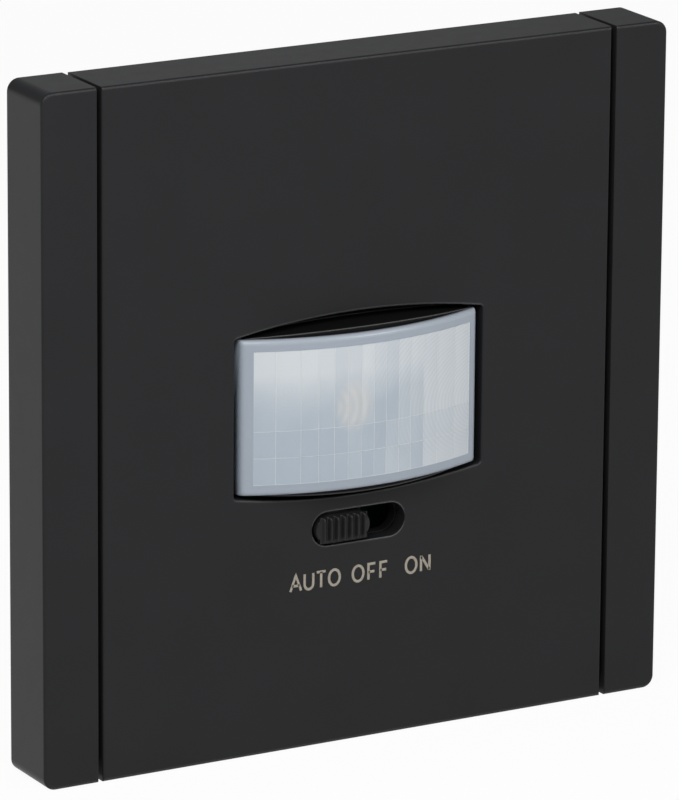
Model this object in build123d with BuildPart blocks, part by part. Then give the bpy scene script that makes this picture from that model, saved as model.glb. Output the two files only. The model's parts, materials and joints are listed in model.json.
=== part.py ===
"""Flush-mounted motion sensor light switch.

+X is right, +Z is up and the front faces -Y. The origin is the centre of the device in the wall plane,
y = 0. "Stand" is the distance of a plane in front of the wall, so a negative stand is inside the wall box.
"""
import os
from math import asin, atan2, cos, hypot, sin

from build123d import *

os.makedirs("parts", exist_ok=True)

# Cover frame
face_size = 84.0
frame_depth = 8.75
frame_wall = 2.0
strip_width = 7.1
frame_corner_radius = 1.5
edge_round = 0.3
frame_floor = 1.5
frame_rail = 1.8
overrun = 1.0

# Front plate
plate_thickness = 2.0
plate_gap = 0.65
skirt_thickness = 1.5
seat_gap = 0.3
skirt_wall_gap = 0.2
clip_width = 6.0
clip_thickness = 1.1
clip_spread = 17.0
clip_reach = 4.5
clip_clearance = 0.2

# Lens and its window
lens_width = 32.0
lens_height = 19.0
lens_bulge = 3.6
lens_thickness = 0.85
lens_flange = 0.6
lens_border = 1.35
lens_edge_round = 0.25
window_side_gap = 0.85
window_end_gap = 0.25
window_rise = 1.5
window_corner_radius = 0.5
window_edge_round = 0.2

# Hood that carries the lens and shades the sensor
hood_clearance = 0.3
hood_rise = 0.7
hood_flange_side = 2.95
hood_flange_rim = 2.55
hood_flange_thickness = 0.8
hood_groove_depth = 0.4
fit_gap = 0.05

# Slide switch
slot_length = 12.7
slot_height = 4.2
slot_gap = 0.3
knob_length = 7.4
knob_height = 3.6
knob_proud = 1.1
knob_step = 0.6
knob_travel = 4.6
knob_block_length = 5.1
rib_count = 6
rib_pitch = 0.85
rib_width = 0.45
rib_depth = 0.45
knob_neck_length = 4.0
knob_neck_height = 3.0
knob_socket_depth = 2.4
knob_round = 0.25
stem_size = 2.0
shell_length = 9.6
shell_height = 4.4
shell_depth = 3.6
shell_sheet = 0.3
switch_base_depth = 1.0
slider_length = 4.0
slider_depth = 1.1
running_gap = 0.05
contact_sheet = 0.25
contact_width = 2.4
switch_pin_size = 0.6
switch_pin_pitch = 2.0
switch_pin_count = 4
pin_tail = 0.8

# Sensor head
head_wall = 1.4
head_lip = 1.4
head_lip_gap = 0.2
head_corner_radius = 2.0
panel_gap = 0.4
hood_tube_gap = 0.65
head_tube_wall = 1.2
head_tube_depth = 6.2
head_cover = 1.2
board_thickness = 1.2
sensor_board_stand = -2.9
board_gap = 0.3
post_radius = 2.4
post_gap = 0.6
post_round_gap = 0.838
screw_shank_radius = 1.0
screw_head_radius = 1.7
screw_head_height = 1.1
screw_grip = 6.0
screw_slot_width = 0.6
screw_slot_depth = 0.5

# Sensor and light cell
can_radius = 4.15
can_height = 3.6
can_base_radius = 4.6
can_base_height = 0.5
can_sheet = 0.4
can_standoff = 0.3
can_round = 0.4
pir_window_width = 4.6
pir_window_height = 3.4
pir_window_thickness = 0.5
lead_radius = 0.23
pir_lead_circle = 2.54
light_cell_radius = 1.5
light_cell_height = 4.0
light_cell_round = 1.2
light_cell_spread = 9.5
light_cell_drop = 4.5
light_lead_pitch = 1.27

# Dials
dial_post_gap = 0.6
dial_gap = 0.8
dial_radius = 2.9
dial_shaft_radius = 1.5
dial_head = 1.2
dial_clearance = 0.1
trimmer_size = 6.4
trimmer_depth = 2.2
trimmer_edge_gap = 0.026
dial_slot_width = 0.8
dial_slot_depth = 0.6
pointer_radius = 0.35

# Plug between sensor head and insert
pin_count = 5
pin_pitch = 2.54
pin_size = 0.64
plug_rise = 6.5
strip_depth = 1.5
strip_height = 2.5
socket_depth = 3.2
socket_clearance = 0.13
chip_length = 9.9
chip_height = 6.0
chip_depth = 1.5
chip_drop = 7.5

# Support ring
ring_inset = 6.5
ring_sheet = 1.2
ring_corner_radius = 4.0
box_screw_pitch = 60.0
box_slot_width = 4.2
box_slot_length = 7.0
peg_radius = 0.75
peg_clearance = 0.05
peg_out = 15.0

# Insert housing
insert_gap = 0.4
insert_round_gap = 1.3
insert_wall = 1.6
insert_cover_sheet = 1.4
insert_floor = 1.2
insert_floor_depth = 7.6
power_board_depth = 11.0
shoulder_radius = 3.2
insert_post_radius = 2.2
insert_post_gap = 0.4
insert_post_round_gap = 1.399
cover_inset = 0.2
pilot_clearance = 0.05

# Terminals
terminal_pitch = 8.0
cage_width = 6.0
cage_height = 7.0
cage_length = 8.4
block_gap = 0.171
wire_radius = 1.7
wire_rise = 0.9
terminal_screw_radius = 1.25
terminal_screw_head_radius = 2.1
terminal_screw_head_height = 1.5
terminal_wall = 0.8
terminal_clearance = 0.1
wire_funnel_radius = 2.4
tag_width = 1.4
tag_thickness = 0.6

# Parts on the power board
component_gap = 0.8
relay_length = 20.0
relay_width = 9.6
relay_height = 9.6
relay_round = 0.5
capacitor_radius = 4.0
capacitor_height = 9.4
film_length = 13.0
film_width = 5.0
film_height = 9.2
varistor_radius = 3.6
varistor_thickness = 3.2
fuse_length = 8.4
fuse_width = 4.2
fuse_height = 7.6
choke_radius = 3.2
choke_waist_radius = 2.2
choke_height = 7.0
choke_flange = 1.2
choke_inset = 0.3
capacitor_crimp = 0.3
relay_place = -6.5
relay_rise = 5.0
capacitor_place = 9.5
film_rise = 17.2
lower_row_drop = 7.0
varistor_place = 13.0
fuse_place = 3.6
choke_place = 8.6

# Fixing claws
claw_sheet = 1.2
claw_width = 10.0
claw_length = 17.0
claw_fork_length = 13.0
claw_tooth = 0.6
claw_tooth_length = 1.5
claw_tooth_gap = 1.6
claw_pivot_inset = 0.4
claw_pivot_depth = 2.0
knuckle_radius = 1.3
trunnion_radius = 0.75
trunnion_clearance = 0.05
ear_sheet = 1.2
ear_gap = 0.3
ear_length = 3.0
ear_depth = 3.6
claw_screw_radius = 1.5
claw_screw_head_radius = 2.2
claw_screw_head_height = 1.7
claw_screw_clearance = 0.1
claw_screw_gap = 0.4
nut_clearance = 0.05
nut_gap = 0.3
nut_width = 5.0
nut_height = 8.4
nut_length = 4.0
nut_depth = 17.0
claw_running_gap = 0.1

# Places worked out from the sizes above: frame and plate
half_face = face_size / 2
channel_half_width = half_face - strip_width
plate_half_width = channel_half_width - plate_gap
plate_back = frame_depth - plate_thickness
floor_front = plate_back - seat_gap
rail_half_height = half_face - skirt_thickness - seat_gap

# Lens, its window and the hood
lens_front = frame_depth + lens_bulge
lens_half_width = lens_width / 2
lens_half_height = lens_height / 2
lens_radius = (lens_half_width**2 + lens_bulge**2) / (2 * lens_bulge)
lens_centre = lens_radius - lens_front
lens_inner_radius = lens_radius - lens_thickness
window_width = lens_width + 2 * window_side_gap
window_side_height = lens_height + 2 * window_end_gap
window_mid_height = window_side_height + 2 * window_rise
hood_half_width = window_width / 2 - hood_clearance
hood_side_height = window_side_height - 2 * hood_clearance
hood_mid_height = hood_side_height + 2 * hood_rise
hood_flange_width = 2 * (hood_half_width + hood_flange_side)
hood_flange_height = hood_mid_height + 2 * hood_flange_rim
slot_drop = hood_flange_height / 2 + slot_gap + slot_height / 2
dial_rise = hood_flange_height / 2 + dial_gap + dial_radius

# Sensor head: its tube clears the hood at the sides and the trimmers' corners all round
head_front = plate_back - panel_gap
head_inside = head_front - head_wall
hood_flange_back = head_front - hood_flange_thickness
head_tube_flat = hood_half_width + hood_tube_gap + head_tube_wall
post_spread = head_tube_flat - head_tube_wall - post_radius - post_gap
dial_spread = post_spread - post_radius - dial_post_gap - trimmer_size / 2
trimmer_corner = hypot(dial_spread + trimmer_size / 2, dial_rise + trimmer_size / 2)
head_tube_radius = trimmer_corner + trimmer_edge_gap + board_gap + head_tube_wall
post_circle_radius = head_tube_radius - head_tube_wall - post_radius - post_round_gap
post_rise = (post_circle_radius**2 - post_spread**2) ** 0.5
board_back = sensor_board_stand - board_thickness
head_cover_front = -head_tube_depth

# Slide switch
knob_rest = -knob_travel / 2
shell_front = sensor_board_stand + shell_depth
slider_front = shell_front - shell_sheet - running_gap
slider_back = slider_front - slider_depth
switch_base_front = sensor_board_stand + switch_base_depth
knob_back = slider_front + knob_socket_depth

# Insert round the sensor head's tube, and the ring that it is pegged to
ring_size = face_size - 2 * ring_inset
ring_opening_radius = head_tube_radius + seat_gap
ring_opening_flat = head_tube_flat + seat_gap
insert_inner_radius = head_tube_radius + insert_round_gap
insert_inner_flat = head_tube_flat + insert_gap
insert_radius = insert_inner_radius + insert_wall
insert_flat = insert_inner_flat + insert_wall
peg_rise = ((insert_radius - insert_wall / 2) ** 2 - peg_out**2) ** 0.5
floor_back = -insert_floor_depth - insert_floor
insert_post_spread = insert_inner_flat - shoulder_radius - insert_post_gap
insert_post_circle_radius = insert_inner_radius - shoulder_radius - insert_post_round_gap
insert_post_rise = (insert_post_circle_radius**2 - insert_post_spread**2) ** 0.5
power_board_front = -power_board_depth
power_board_back = power_board_front - board_thickness
tallest = max(relay_height, capacitor_height, film_height, fuse_height, choke_height)
insert_cover_front = power_board_back - tallest - component_gap
insert_depth = insert_cover_sheet - insert_cover_front

# Terminals, as low as the round wall lets the block's corners go
block_half_width = terminal_pitch + cage_width / 2 + terminal_wall
block_half_height = cage_height / 2 + terminal_wall
cage_drop = ((insert_inner_radius - block_gap) ** 2 - block_half_width**2) ** 0.5 - block_half_height
cage_rows = [-terminal_pitch, 0, terminal_pitch]
tag_drop = cage_drop + cage_height / 2 - tag_thickness
cage_back = insert_cover_front + terminal_clearance
cage_front = cage_back + cage_length

# Claws outside the insert's flats; the head's width covers their screws and its height the insert
nut_in = insert_flat + nut_gap
nut_out = nut_in + nut_width
claw_screw_out = nut_in + nut_width / 2
claw_pivot_out = claw_screw_out - claw_pivot_inset
claw_reach = nut_depth - claw_pivot_depth
claw_offset = nut_out + claw_running_gap - claw_pivot_out
claw_angle = atan2(claw_offset, claw_reach) + asin(claw_sheet / 2 / hypot(claw_reach, claw_offset))
head_width = 2 * (claw_screw_out + claw_screw_head_radius + head_lip_gap + head_lip)
head_height = 2 * insert_radius
clip_rise = head_height / 2 - head_lip - clip_thickness / 2 - clip_clearance


def at(stand):
    """Plane parallel to the wall; a sketch on it reads X and Z, and extrudes towards the front."""
    return Plane.XZ.offset(stand)


def arched_outline(width, side_height, mid_height):
    """Rectangle whose top and bottom edges are arcs that rise in the middle."""
    half = width / 2
    with BuildLine() as outline:
        ThreePointArc((-half, side_height / 2), (0, mid_height / 2), (half, side_height / 2))
        Line((half, side_height / 2), (half, -side_height / 2))
        ThreePointArc((half, -side_height / 2), (0, -mid_height / 2), (-half, -side_height / 2))
        Line((-half, -side_height / 2), (-half, side_height / 2))
    make_face(outline.edges())


def flatted_disc(radius, flat):
    """Disc with a flat on its left and right."""
    Circle(radius)
    Rectangle(2 * flat, 2 * radius, mode=Mode.INTERSECT)


def save(piece, label):
    piece.label = label
    export_step(piece, f"parts/{label}.step")


# Cover frame: side strips of full depth, with lower rails and a floor between them for the plate
with BuildPart() as cover_frame:
    with BuildSketch(at(0)):
        RectangleRounded(face_size, face_size, frame_corner_radius)
    extrude(amount=frame_depth)
    fillet(cover_frame.faces().sort_by(Axis.Y)[0].edges(), edge_round)
    with BuildSketch(at(floor_front)):
        Rectangle(2 * channel_half_width, face_size + overrun)
    extrude(amount=frame_depth, mode=Mode.SUBTRACT)
    with BuildSketch(at(-overrun)):
        with GridLocations(0, 2 * half_face, 1, 2):
            Rectangle(2 * channel_half_width, 2 * (half_face - rail_half_height))
    extrude(amount=frame_depth + overrun, mode=Mode.SUBTRACT)
    with BuildSketch(at(-overrun)):
        Rectangle(face_size - 2 * frame_wall, 2 * (rail_half_height - frame_rail))
    extrude(amount=floor_front - frame_floor + overrun, mode=Mode.SUBTRACT)
    strip_hollow = strip_width - frame_wall - frame_floor
    with BuildSketch(at(-overrun)):
        with GridLocations(2 * (half_face - frame_wall - strip_hollow / 2), 0, 2, 1):
            Rectangle(strip_hollow, face_size - 2 * frame_wall)
    extrude(amount=frame_depth - frame_wall + overrun, mode=Mode.SUBTRACT)
    with BuildSketch(at(0)):
        RectangleRounded(head_width + 4 * seat_gap, head_height + 4 * seat_gap, head_corner_radius)
    extrude(amount=frame_depth, mode=Mode.SUBTRACT)
save(cover_frame.part, "cover_frame")

# Front plate: skirts close its top and bottom, and four legs clip it into the sensor head
with BuildPart() as front_plate:
    with BuildSketch(at(plate_back)):
        Rectangle(2 * plate_half_width, face_size)
    extrude(amount=plate_thickness)
    fillet(front_plate.faces().sort_by(Axis.Y)[0].edges(), edge_round)
    with BuildSketch(at(skirt_wall_gap)):
        with GridLocations(0, face_size - skirt_thickness, 1, 2):
            Rectangle(2 * plate_half_width, skirt_thickness)
    extrude(amount=plate_back - skirt_wall_gap)
    with BuildSketch(at(plate_back)):
        with GridLocations(2 * clip_spread, 2 * clip_rise, 2, 2):
            Rectangle(clip_width, clip_thickness)
    extrude(amount=-clip_reach)
    with BuildSketch(at(plate_back)) as window:
        arched_outline(window_width, window_side_height, window_mid_height)
        fillet(window.vertices(), window_corner_radius)
    extrude(amount=plate_thickness, mode=Mode.SUBTRACT)
    front_face = front_plate.faces().sort_by(Axis.Y)[0]
    fillet(front_face.inner_wires()[0].edges(), window_edge_round)
    with BuildSketch(at(plate_back)):
        with Locations((0, -slot_drop)):
            SlotOverall(slot_length, slot_height)
    extrude(amount=plate_thickness, mode=Mode.SUBTRACT)
save(front_plate.part, "front_plate")

# Lens: a sheet bent about a vertical axis, with a flange down each side
with BuildPart() as lens:
    flange_inner = lens_half_width - lens_flange
    flange_foot = head_front - hood_groove_depth
    inner_corner = lens_centre - (lens_inner_radius**2 - flange_inner**2) ** 0.5
    with BuildSketch(Plane.XY):
        with BuildLine():
            ThreePointArc((-lens_half_width, -frame_depth), (0, -lens_front), (lens_half_width, -frame_depth))
            Polyline(
                (lens_half_width, -frame_depth),
                (lens_half_width, -flange_foot),
                (flange_inner, -flange_foot),
                (flange_inner, inner_corner),
            )
            ThreePointArc(
                (flange_inner, inner_corner),
                (0, lens_thickness - lens_front),
                (-flange_inner, inner_corner),
            )
            Polyline(
                (-flange_inner, inner_corner),
                (-flange_inner, -flange_foot),
                (-lens_half_width, -flange_foot),
                (-lens_half_width, -frame_depth),
            )
        make_face()
    extrude(amount=lens_half_height, both=True)
    bulge_face = lens.faces().filter_by(GeomType.CYLINDER).sort_by(Axis.Y)[0]
    fillet(bulge_face.edges(), lens_edge_round)
save(lens.part, "lens")

# Hood: its arched top and bottom follow the lens, its tube runs back to the sensor board
with BuildPart() as lens_hood:
    with BuildSketch(at(hood_flange_back)):
        arched_outline(2 * hood_half_width, hood_side_height, hood_mid_height)
    extrude(amount=lens_front - hood_flange_back)
    with BuildSketch(Plane.XY):
        with Locations((0, lens_centre)):
            Circle(lens_inner_radius - fit_gap)
    extrude(amount=hood_mid_height, both=True, mode=Mode.INTERSECT)
    with BuildSketch(at(head_front - hood_groove_depth)):
        with GridLocations(2 * lens_half_width, 0, 2, 1):
            Rectangle(2 * (lens_flange + fit_gap), lens_height + 2 * fit_gap)
    extrude(amount=lens_front, mode=Mode.SUBTRACT)
    with BuildSketch(at(hood_flange_back)):
        RectangleRounded(hood_flange_width, hood_flange_height, frame_corner_radius)
    extrude(amount=hood_flange_thickness)
    with BuildSketch(at(sensor_board_stand + board_gap)):
        Rectangle(2 * hood_half_width, hood_side_height)
    extrude(amount=hood_flange_back - sensor_board_stand - board_gap)
    with BuildSketch(at(head_front - hood_groove_depth)):
        with GridLocations(2 * (lens_half_width - lens_flange / 2), 0, 2, 1):
            Rectangle(lens_flange + 2 * fit_gap, lens_height + 2 * fit_gap)
    extrude(amount=hood_flange_thickness, mode=Mode.SUBTRACT)
    with BuildSketch(at(sensor_board_stand)):
        Rectangle(lens_width - 2 * lens_border, lens_height - 2 * lens_border)
    extrude(amount=lens_front - sensor_board_stand, mode=Mode.SUBTRACT)
save(lens_hood.part, "lens_hood")

# Sensor head housing: a square tray on the support ring, with a tube through the ring's opening
with BuildPart() as module_housing:
    with BuildSketch(at(ring_sheet)):
        RectangleRounded(head_width, head_height, head_corner_radius)
    extrude(amount=head_front - ring_sheet)
    with BuildSketch(at(ring_sheet)):
        RectangleRounded(head_width - 2 * head_lip, head_height - 2 * head_lip, head_corner_radius)
    extrude(amount=head_inside - ring_sheet, mode=Mode.SUBTRACT)
    with BuildSketch(at(head_cover_front)):
        flatted_disc(head_tube_radius, head_tube_flat)
    extrude(amount=head_inside - head_cover_front)
    with BuildSketch(at(head_cover_front)):
        flatted_disc(head_tube_radius - head_tube_wall, head_tube_flat - head_tube_wall)
    extrude(amount=head_inside - head_cover_front, mode=Mode.SUBTRACT)
    with BuildSketch(at(sensor_board_stand)):
        with GridLocations(2 * post_spread, 2 * post_rise, 2, 2):
            Circle(post_radius)
    extrude(amount=head_inside - sensor_board_stand)
    with BuildSketch(at(sensor_board_stand)):
        with GridLocations(2 * post_spread, 2 * post_rise, 2, 2):
            Circle(screw_shank_radius + pilot_clearance)
    extrude(amount=screw_grip, mode=Mode.SUBTRACT)
    with BuildSketch(at(hood_flange_back)):
        RectangleRounded(hood_flange_width + 2 * clip_clearance, hood_flange_height + 2 * clip_clearance,
                         frame_corner_radius)
    extrude(amount=head_wall, mode=Mode.SUBTRACT)
    with BuildSketch(at(head_inside)):
        Rectangle(2 * (hood_half_width + clip_clearance), hood_side_height + 2 * clip_clearance)
        with Locations((0, -slot_drop)):
            SlotOverall(slot_length, slot_height)
        with Locations((-dial_spread, dial_rise), (dial_spread, dial_rise)):
            Circle(dial_radius + dial_clearance)
        with GridLocations(2 * clip_spread, 2 * clip_rise, 2, 2):
            Rectangle(clip_width + 2 * clip_clearance, clip_thickness + 2 * clip_clearance)
    extrude(amount=head_wall, mode=Mode.SUBTRACT)
save(module_housing.part, "module_housing")

# Rear cover of the sensor head, with spacers that clamp the sensor board
with BuildPart() as module_cover:
    with BuildSketch(at(head_cover_front)):
        flatted_disc(head_tube_radius, head_tube_flat)
    extrude(amount=-head_cover)
    with BuildSketch(at(head_cover_front)):
        with GridLocations(2 * post_spread, 2 * post_rise, 2, 2):
            Circle(post_radius)
    extrude(amount=board_back - head_cover_front)
    with BuildSketch(at(head_cover_front - head_cover)):
        with GridLocations(2 * post_spread, 2 * post_rise, 2, 2):
            Circle(screw_shank_radius + pilot_clearance)
        with Locations((0, plug_rise)):
            Rectangle(pin_count * pin_pitch, strip_height)
    extrude(amount=board_back - head_cover_front + head_cover, mode=Mode.SUBTRACT)
    with BuildSketch(at(head_cover_front - head_cover)):
        with GridLocations(2 * post_spread, 2 * post_rise, 2, 2):
            Circle(screw_head_radius + clip_clearance)
    extrude(amount=screw_head_height, mode=Mode.SUBTRACT)
save(module_cover.part, "module_cover")

# Screws of the sensor head: they pass the cover and the board into the housing's posts
with BuildPart() as module_screws:
    head_back = head_cover_front - head_cover
    head_seat = head_back + screw_head_height
    screw_length = sensor_board_stand - head_seat + screw_grip - pin_tail
    with BuildSketch(at(head_seat)):
        with GridLocations(2 * post_spread, 2 * post_rise, 2, 2):
            Circle(screw_shank_radius)
    extrude(amount=screw_length)
    with BuildSketch(at(head_back)):
        with GridLocations(2 * post_spread, 2 * post_rise, 2, 2):
            Circle(screw_head_radius)
    extrude(amount=screw_head_height)
    with BuildSketch(at(head_back)):
        with GridLocations(2 * post_spread, 2 * post_rise, 2, 2):
            Rectangle(2 * screw_head_radius, screw_slot_width)
    extrude(amount=screw_slot_depth, mode=Mode.SUBTRACT)
save(module_screws.part, "module_screws")

# Sensor board, drilled for its screws, leads and pins
with BuildPart() as sensor_board:
    board_inset = head_tube_wall + board_gap
    with BuildSketch(at(board_back)):
        flatted_disc(head_tube_radius - board_inset, head_tube_flat - board_inset)
        with GridLocations(2 * post_spread, 2 * post_rise, 2, 2):
            Circle(screw_shank_radius + pilot_clearance, mode=Mode.SUBTRACT)
        with Locations((0, plug_rise)):
            with GridLocations(pin_pitch, 0, pin_count, 1):
                Rectangle(pin_size, pin_size, mode=Mode.SUBTRACT)
        with Locations((0, -slot_drop)):
            with GridLocations(switch_pin_pitch, 0, switch_pin_count, 1):
                Rectangle(switch_pin_size, switch_pin_size, mode=Mode.SUBTRACT)
        with PolarLocations(pir_lead_circle, 3, start_angle=-90):
            Circle(lead_radius, mode=Mode.SUBTRACT)
        with Locations((light_cell_spread, -light_cell_drop)):
            with GridLocations(2 * light_lead_pitch, 0, 2, 1):
                Circle(lead_radius, mode=Mode.SUBTRACT)
    extrude(amount=board_thickness)
save(sensor_board.part, "sensor_board")

# Infrared sensor: a can with a filter window, on three leads
with BuildPart() as pir_can:
    can_back = sensor_board_stand + can_standoff
    can_front = can_back + can_base_height + can_height
    with BuildSketch(at(can_back)):
        Circle(can_base_radius)
    extrude(amount=can_base_height)
    with BuildSketch(at(can_back + can_base_height)):
        Circle(can_radius)
    extrude(amount=can_height)
    fillet(pir_can.faces().sort_by(Axis.Y)[0].edges(), can_round)
    with BuildSketch(at(can_front - pir_window_thickness)):
        Rectangle(pir_window_width, pir_window_height)
    extrude(amount=pir_window_thickness, mode=Mode.SUBTRACT)
save(pir_can.part, "pir_can")

with BuildPart() as pir_window:
    with BuildSketch(at(can_front - pir_window_thickness)):
        Rectangle(pir_window_width, pir_window_height)
    extrude(amount=pir_window_thickness - can_sheet / 4)
save(pir_window.part, "pir_window")

with BuildPart() as pir_leads:
    with BuildSketch(at(board_back - pin_tail)):
        with PolarLocations(pir_lead_circle, 3, start_angle=-90):
            Circle(lead_radius)
    extrude(amount=can_back - board_back + pin_tail)
save(pir_leads.part, "pir_leads")

# Light cell that measures the daylight through the lens
with BuildPart() as light_sensor:
    with BuildSketch(at(sensor_board_stand + can_standoff)):
        with Locations((light_cell_spread, -light_cell_drop)):
            Circle(light_cell_radius)
    extrude(amount=light_cell_height)
    fillet(light_sensor.faces().sort_by(Axis.Y)[0].edges(), light_cell_round)
save(light_sensor.part, "light_sensor")

with BuildPart() as light_sensor_leads:
    with BuildSketch(at(board_back - pin_tail)):
        with Locations((light_cell_spread, -light_cell_drop)):
            with GridLocations(2 * light_lead_pitch, 0, 2, 1):
                Circle(lead_radius)
    extrude(amount=sensor_board_stand + can_standoff - board_back + pin_tail)
save(light_sensor_leads.part, "light_sensor_leads")

# Slide switch: folded steel shell over a base with four terminals
with BuildPart() as switch_shell:
    with BuildSketch(at(sensor_board_stand)):
        with Locations((0, -slot_drop)):
            Rectangle(shell_length, shell_height)
    extrude(amount=shell_depth)
    with BuildSketch(at(sensor_board_stand)):
        with Locations((0, -slot_drop)):
            Rectangle(shell_length - 2 * shell_sheet, shell_height - 2 * shell_sheet)
    extrude(amount=shell_depth - shell_sheet, mode=Mode.SUBTRACT)
    with BuildSketch(at(shell_front - shell_sheet)):
        with Locations((0, -slot_drop)):
            Rectangle(stem_size + knob_travel + 2 * clip_clearance, stem_size + 2 * clip_clearance)
    extrude(amount=shell_sheet, mode=Mode.SUBTRACT)
save(switch_shell.part, "switch_shell")

with BuildPart() as switch_base:
    with BuildSketch(at(sensor_board_stand)):
        with Locations((0, -slot_drop)):
            Rectangle(shell_length - 2 * shell_sheet, shell_height - 2 * shell_sheet)
            with GridLocations(switch_pin_pitch, 0, switch_pin_count, 1):
                Rectangle(switch_pin_size, switch_pin_size, mode=Mode.SUBTRACT)
    extrude(amount=switch_base_depth)
save(switch_base.part, "switch_base")

with BuildPart() as switch_terminals:
    with BuildSketch(at(board_back - pin_tail)):
        with Locations((0, -slot_drop)):
            with GridLocations(switch_pin_pitch, 0, switch_pin_count, 1):
                Rectangle(switch_pin_size, switch_pin_size)
    extrude(amount=switch_base_front - board_back + pin_tail)
save(switch_terminals.part, "switch_terminals")

# Moving block of the switch, with the stem that carries the knob
with BuildPart() as switch_actuator:
    with BuildSketch(at(slider_back)):
        with Locations((knob_rest, -slot_drop)):
            Rectangle(slider_length, shell_height - 2 * shell_sheet - 2 * clip_clearance)
    extrude(amount=slider_depth)
    with BuildSketch(at(slider_front)):
        with Locations((knob_rest, -slot_drop)):
            Rectangle(stem_size, stem_size)
    extrude(amount=2 * knob_socket_depth)
save(switch_actuator.part, "switch_actuator")

# Contact leaf under the moving block, bowed towards the terminals
with BuildPart() as switch_contact:
    leaf_drop = slider_back - switch_base_front - running_gap
    with BuildSketch(Plane.XY.offset(-slot_drop)):
        with BuildLine():
            Polyline(
                (knob_rest - slider_length / 2, -slider_back),
                (knob_rest - slider_length / 4, -slider_back),
                (knob_rest, leaf_drop - contact_sheet - slider_back),
                (knob_rest + slider_length / 4, -slider_back),
                (knob_rest + slider_length / 2, -slider_back),
                (knob_rest + slider_length / 2, contact_sheet - slider_back),
                (knob_rest + slider_length / 4, contact_sheet - slider_back),
                (knob_rest, leaf_drop - slider_back),
                (knob_rest - slider_length / 4, contact_sheet - slider_back),
                (knob_rest - slider_length / 2, contact_sheet - slider_back),
                close=True,
            )
        make_face()
    extrude(amount=contact_width / 2, both=True)
save(switch_contact.part, "switch_contact")

# Knob: a rounded foot in the slot, with a ribbed block on it for the fingertip
with BuildPart() as slide_knob:
    knob_front = frame_depth + knob_proud
    with BuildSketch(at(knob_back)):
        with Locations((knob_rest, -slot_drop)):
            Rectangle(knob_neck_length, knob_neck_height)
    extrude(amount=plate_back - knob_back)
    with BuildSketch(at(plate_back)):
        with Locations((knob_rest, -slot_drop)):
            SlotOverall(knob_length, knob_height)
    extrude(amount=knob_front - knob_step - plate_back)
    fillet(slide_knob.faces().sort_by(Axis.Y)[0].edges(), knob_round)
    with BuildSketch(at(knob_front - knob_step - knob_round)):
        with Locations((knob_rest, -slot_drop)):
            Rectangle(knob_block_length, knob_height - knob_round)
    extrude(amount=knob_step + knob_round)
    with BuildSketch(at(knob_front - rib_depth)):
        with Locations((knob_rest, -slot_drop)):
            with GridLocations(rib_pitch, 0, rib_count - 1, 1):
                Rectangle(rib_pitch - rib_width, knob_height)
    extrude(amount=rib_depth, mode=Mode.SUBTRACT)
    with BuildSketch(at(knob_back)):
        with Locations((knob_rest, -slot_drop)):
            Rectangle(stem_size + 2 * running_gap, stem_size + 2 * running_gap)
    extrude(amount=knob_socket_depth + running_gap, mode=Mode.SUBTRACT)
save(slide_knob.part, "slide_knob")

# Trimmers for the switch-off time and the light level
with BuildPart() as trimmer_bodies:
    with BuildSketch(at(sensor_board_stand)):
        with Locations((-dial_spread, dial_rise), (dial_spread, dial_rise)):
            Rectangle(trimmer_size, trimmer_size)
            Circle(dial_shaft_radius + running_gap, mode=Mode.SUBTRACT)
    extrude(amount=trimmer_depth)
save(trimmer_bodies.part, "trimmer_bodies")

for place, label in ((-dial_spread, "time_dial"), (dial_spread, "lux_dial")):
    with BuildPart() as dial:
        with BuildSketch(at(sensor_board_stand + running_gap)):
            with Locations((place, dial_rise)):
                Circle(dial_shaft_radius)
        extrude(amount=head_front - dial_head - sensor_board_stand - running_gap)
        with BuildSketch(at(head_front - dial_head)):
            with Locations((place, dial_rise)):
                Circle(dial_radius)
        extrude(amount=dial_head)
        with BuildSketch(at(head_front - dial_slot_depth)):
            with Locations((place, dial_rise)):
                Rectangle(1.5 * dial_radius, dial_slot_width)
            with Locations((place, dial_rise + dial_radius - 2 * pointer_radius)):
                Circle(pointer_radius)
        extrude(amount=dial_slot_depth, mode=Mode.SUBTRACT)
    save(dial.part, label)

# Controller chip on the back of the sensor board
with BuildPart() as controller_chip:
    with BuildSketch(at(board_back - chip_depth)):
        with Locations((0, -chip_drop)):
            Rectangle(chip_length, chip_height)
    extrude(amount=chip_depth)
    chamfer(controller_chip.faces().sort_by(Axis.Y)[-1].edges(), chip_depth / 8)
save(controller_chip.part, "controller_chip")

# Plug: pins in a strip under the sensor board, socket on the power board
with BuildPart() as header_strip:
    with BuildSketch(at(board_back - strip_depth)):
        with Locations((0, plug_rise)):
            Rectangle(pin_count * pin_pitch, strip_height)
            with GridLocations(pin_pitch, 0, pin_count, 1):
                Rectangle(pin_size, pin_size, mode=Mode.SUBTRACT)
    extrude(amount=strip_depth)
save(header_strip.part, "header_strip")

with BuildPart() as header_pins:
    pin_tip = power_board_front + board_gap
    with BuildSketch(at(pin_tip)):
        with Locations((0, plug_rise)):
            with GridLocations(pin_pitch, 0, pin_count, 1):
                Rectangle(pin_size, pin_size)
    extrude(amount=sensor_board_stand - pin_tip)
save(header_pins.part, "header_pins")

with BuildPart() as header_socket:
    with BuildSketch(at(power_board_front)):
        with Locations((0, plug_rise)):
            Rectangle(pin_count * pin_pitch, strip_height)
            with GridLocations(pin_pitch, 0, pin_count, 1):
                Rectangle(pin_size + 2 * socket_clearance, pin_size + 2 * socket_clearance,
                          mode=Mode.SUBTRACT)
    extrude(amount=socket_depth)
save(header_socket.part, "header_socket")

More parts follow.
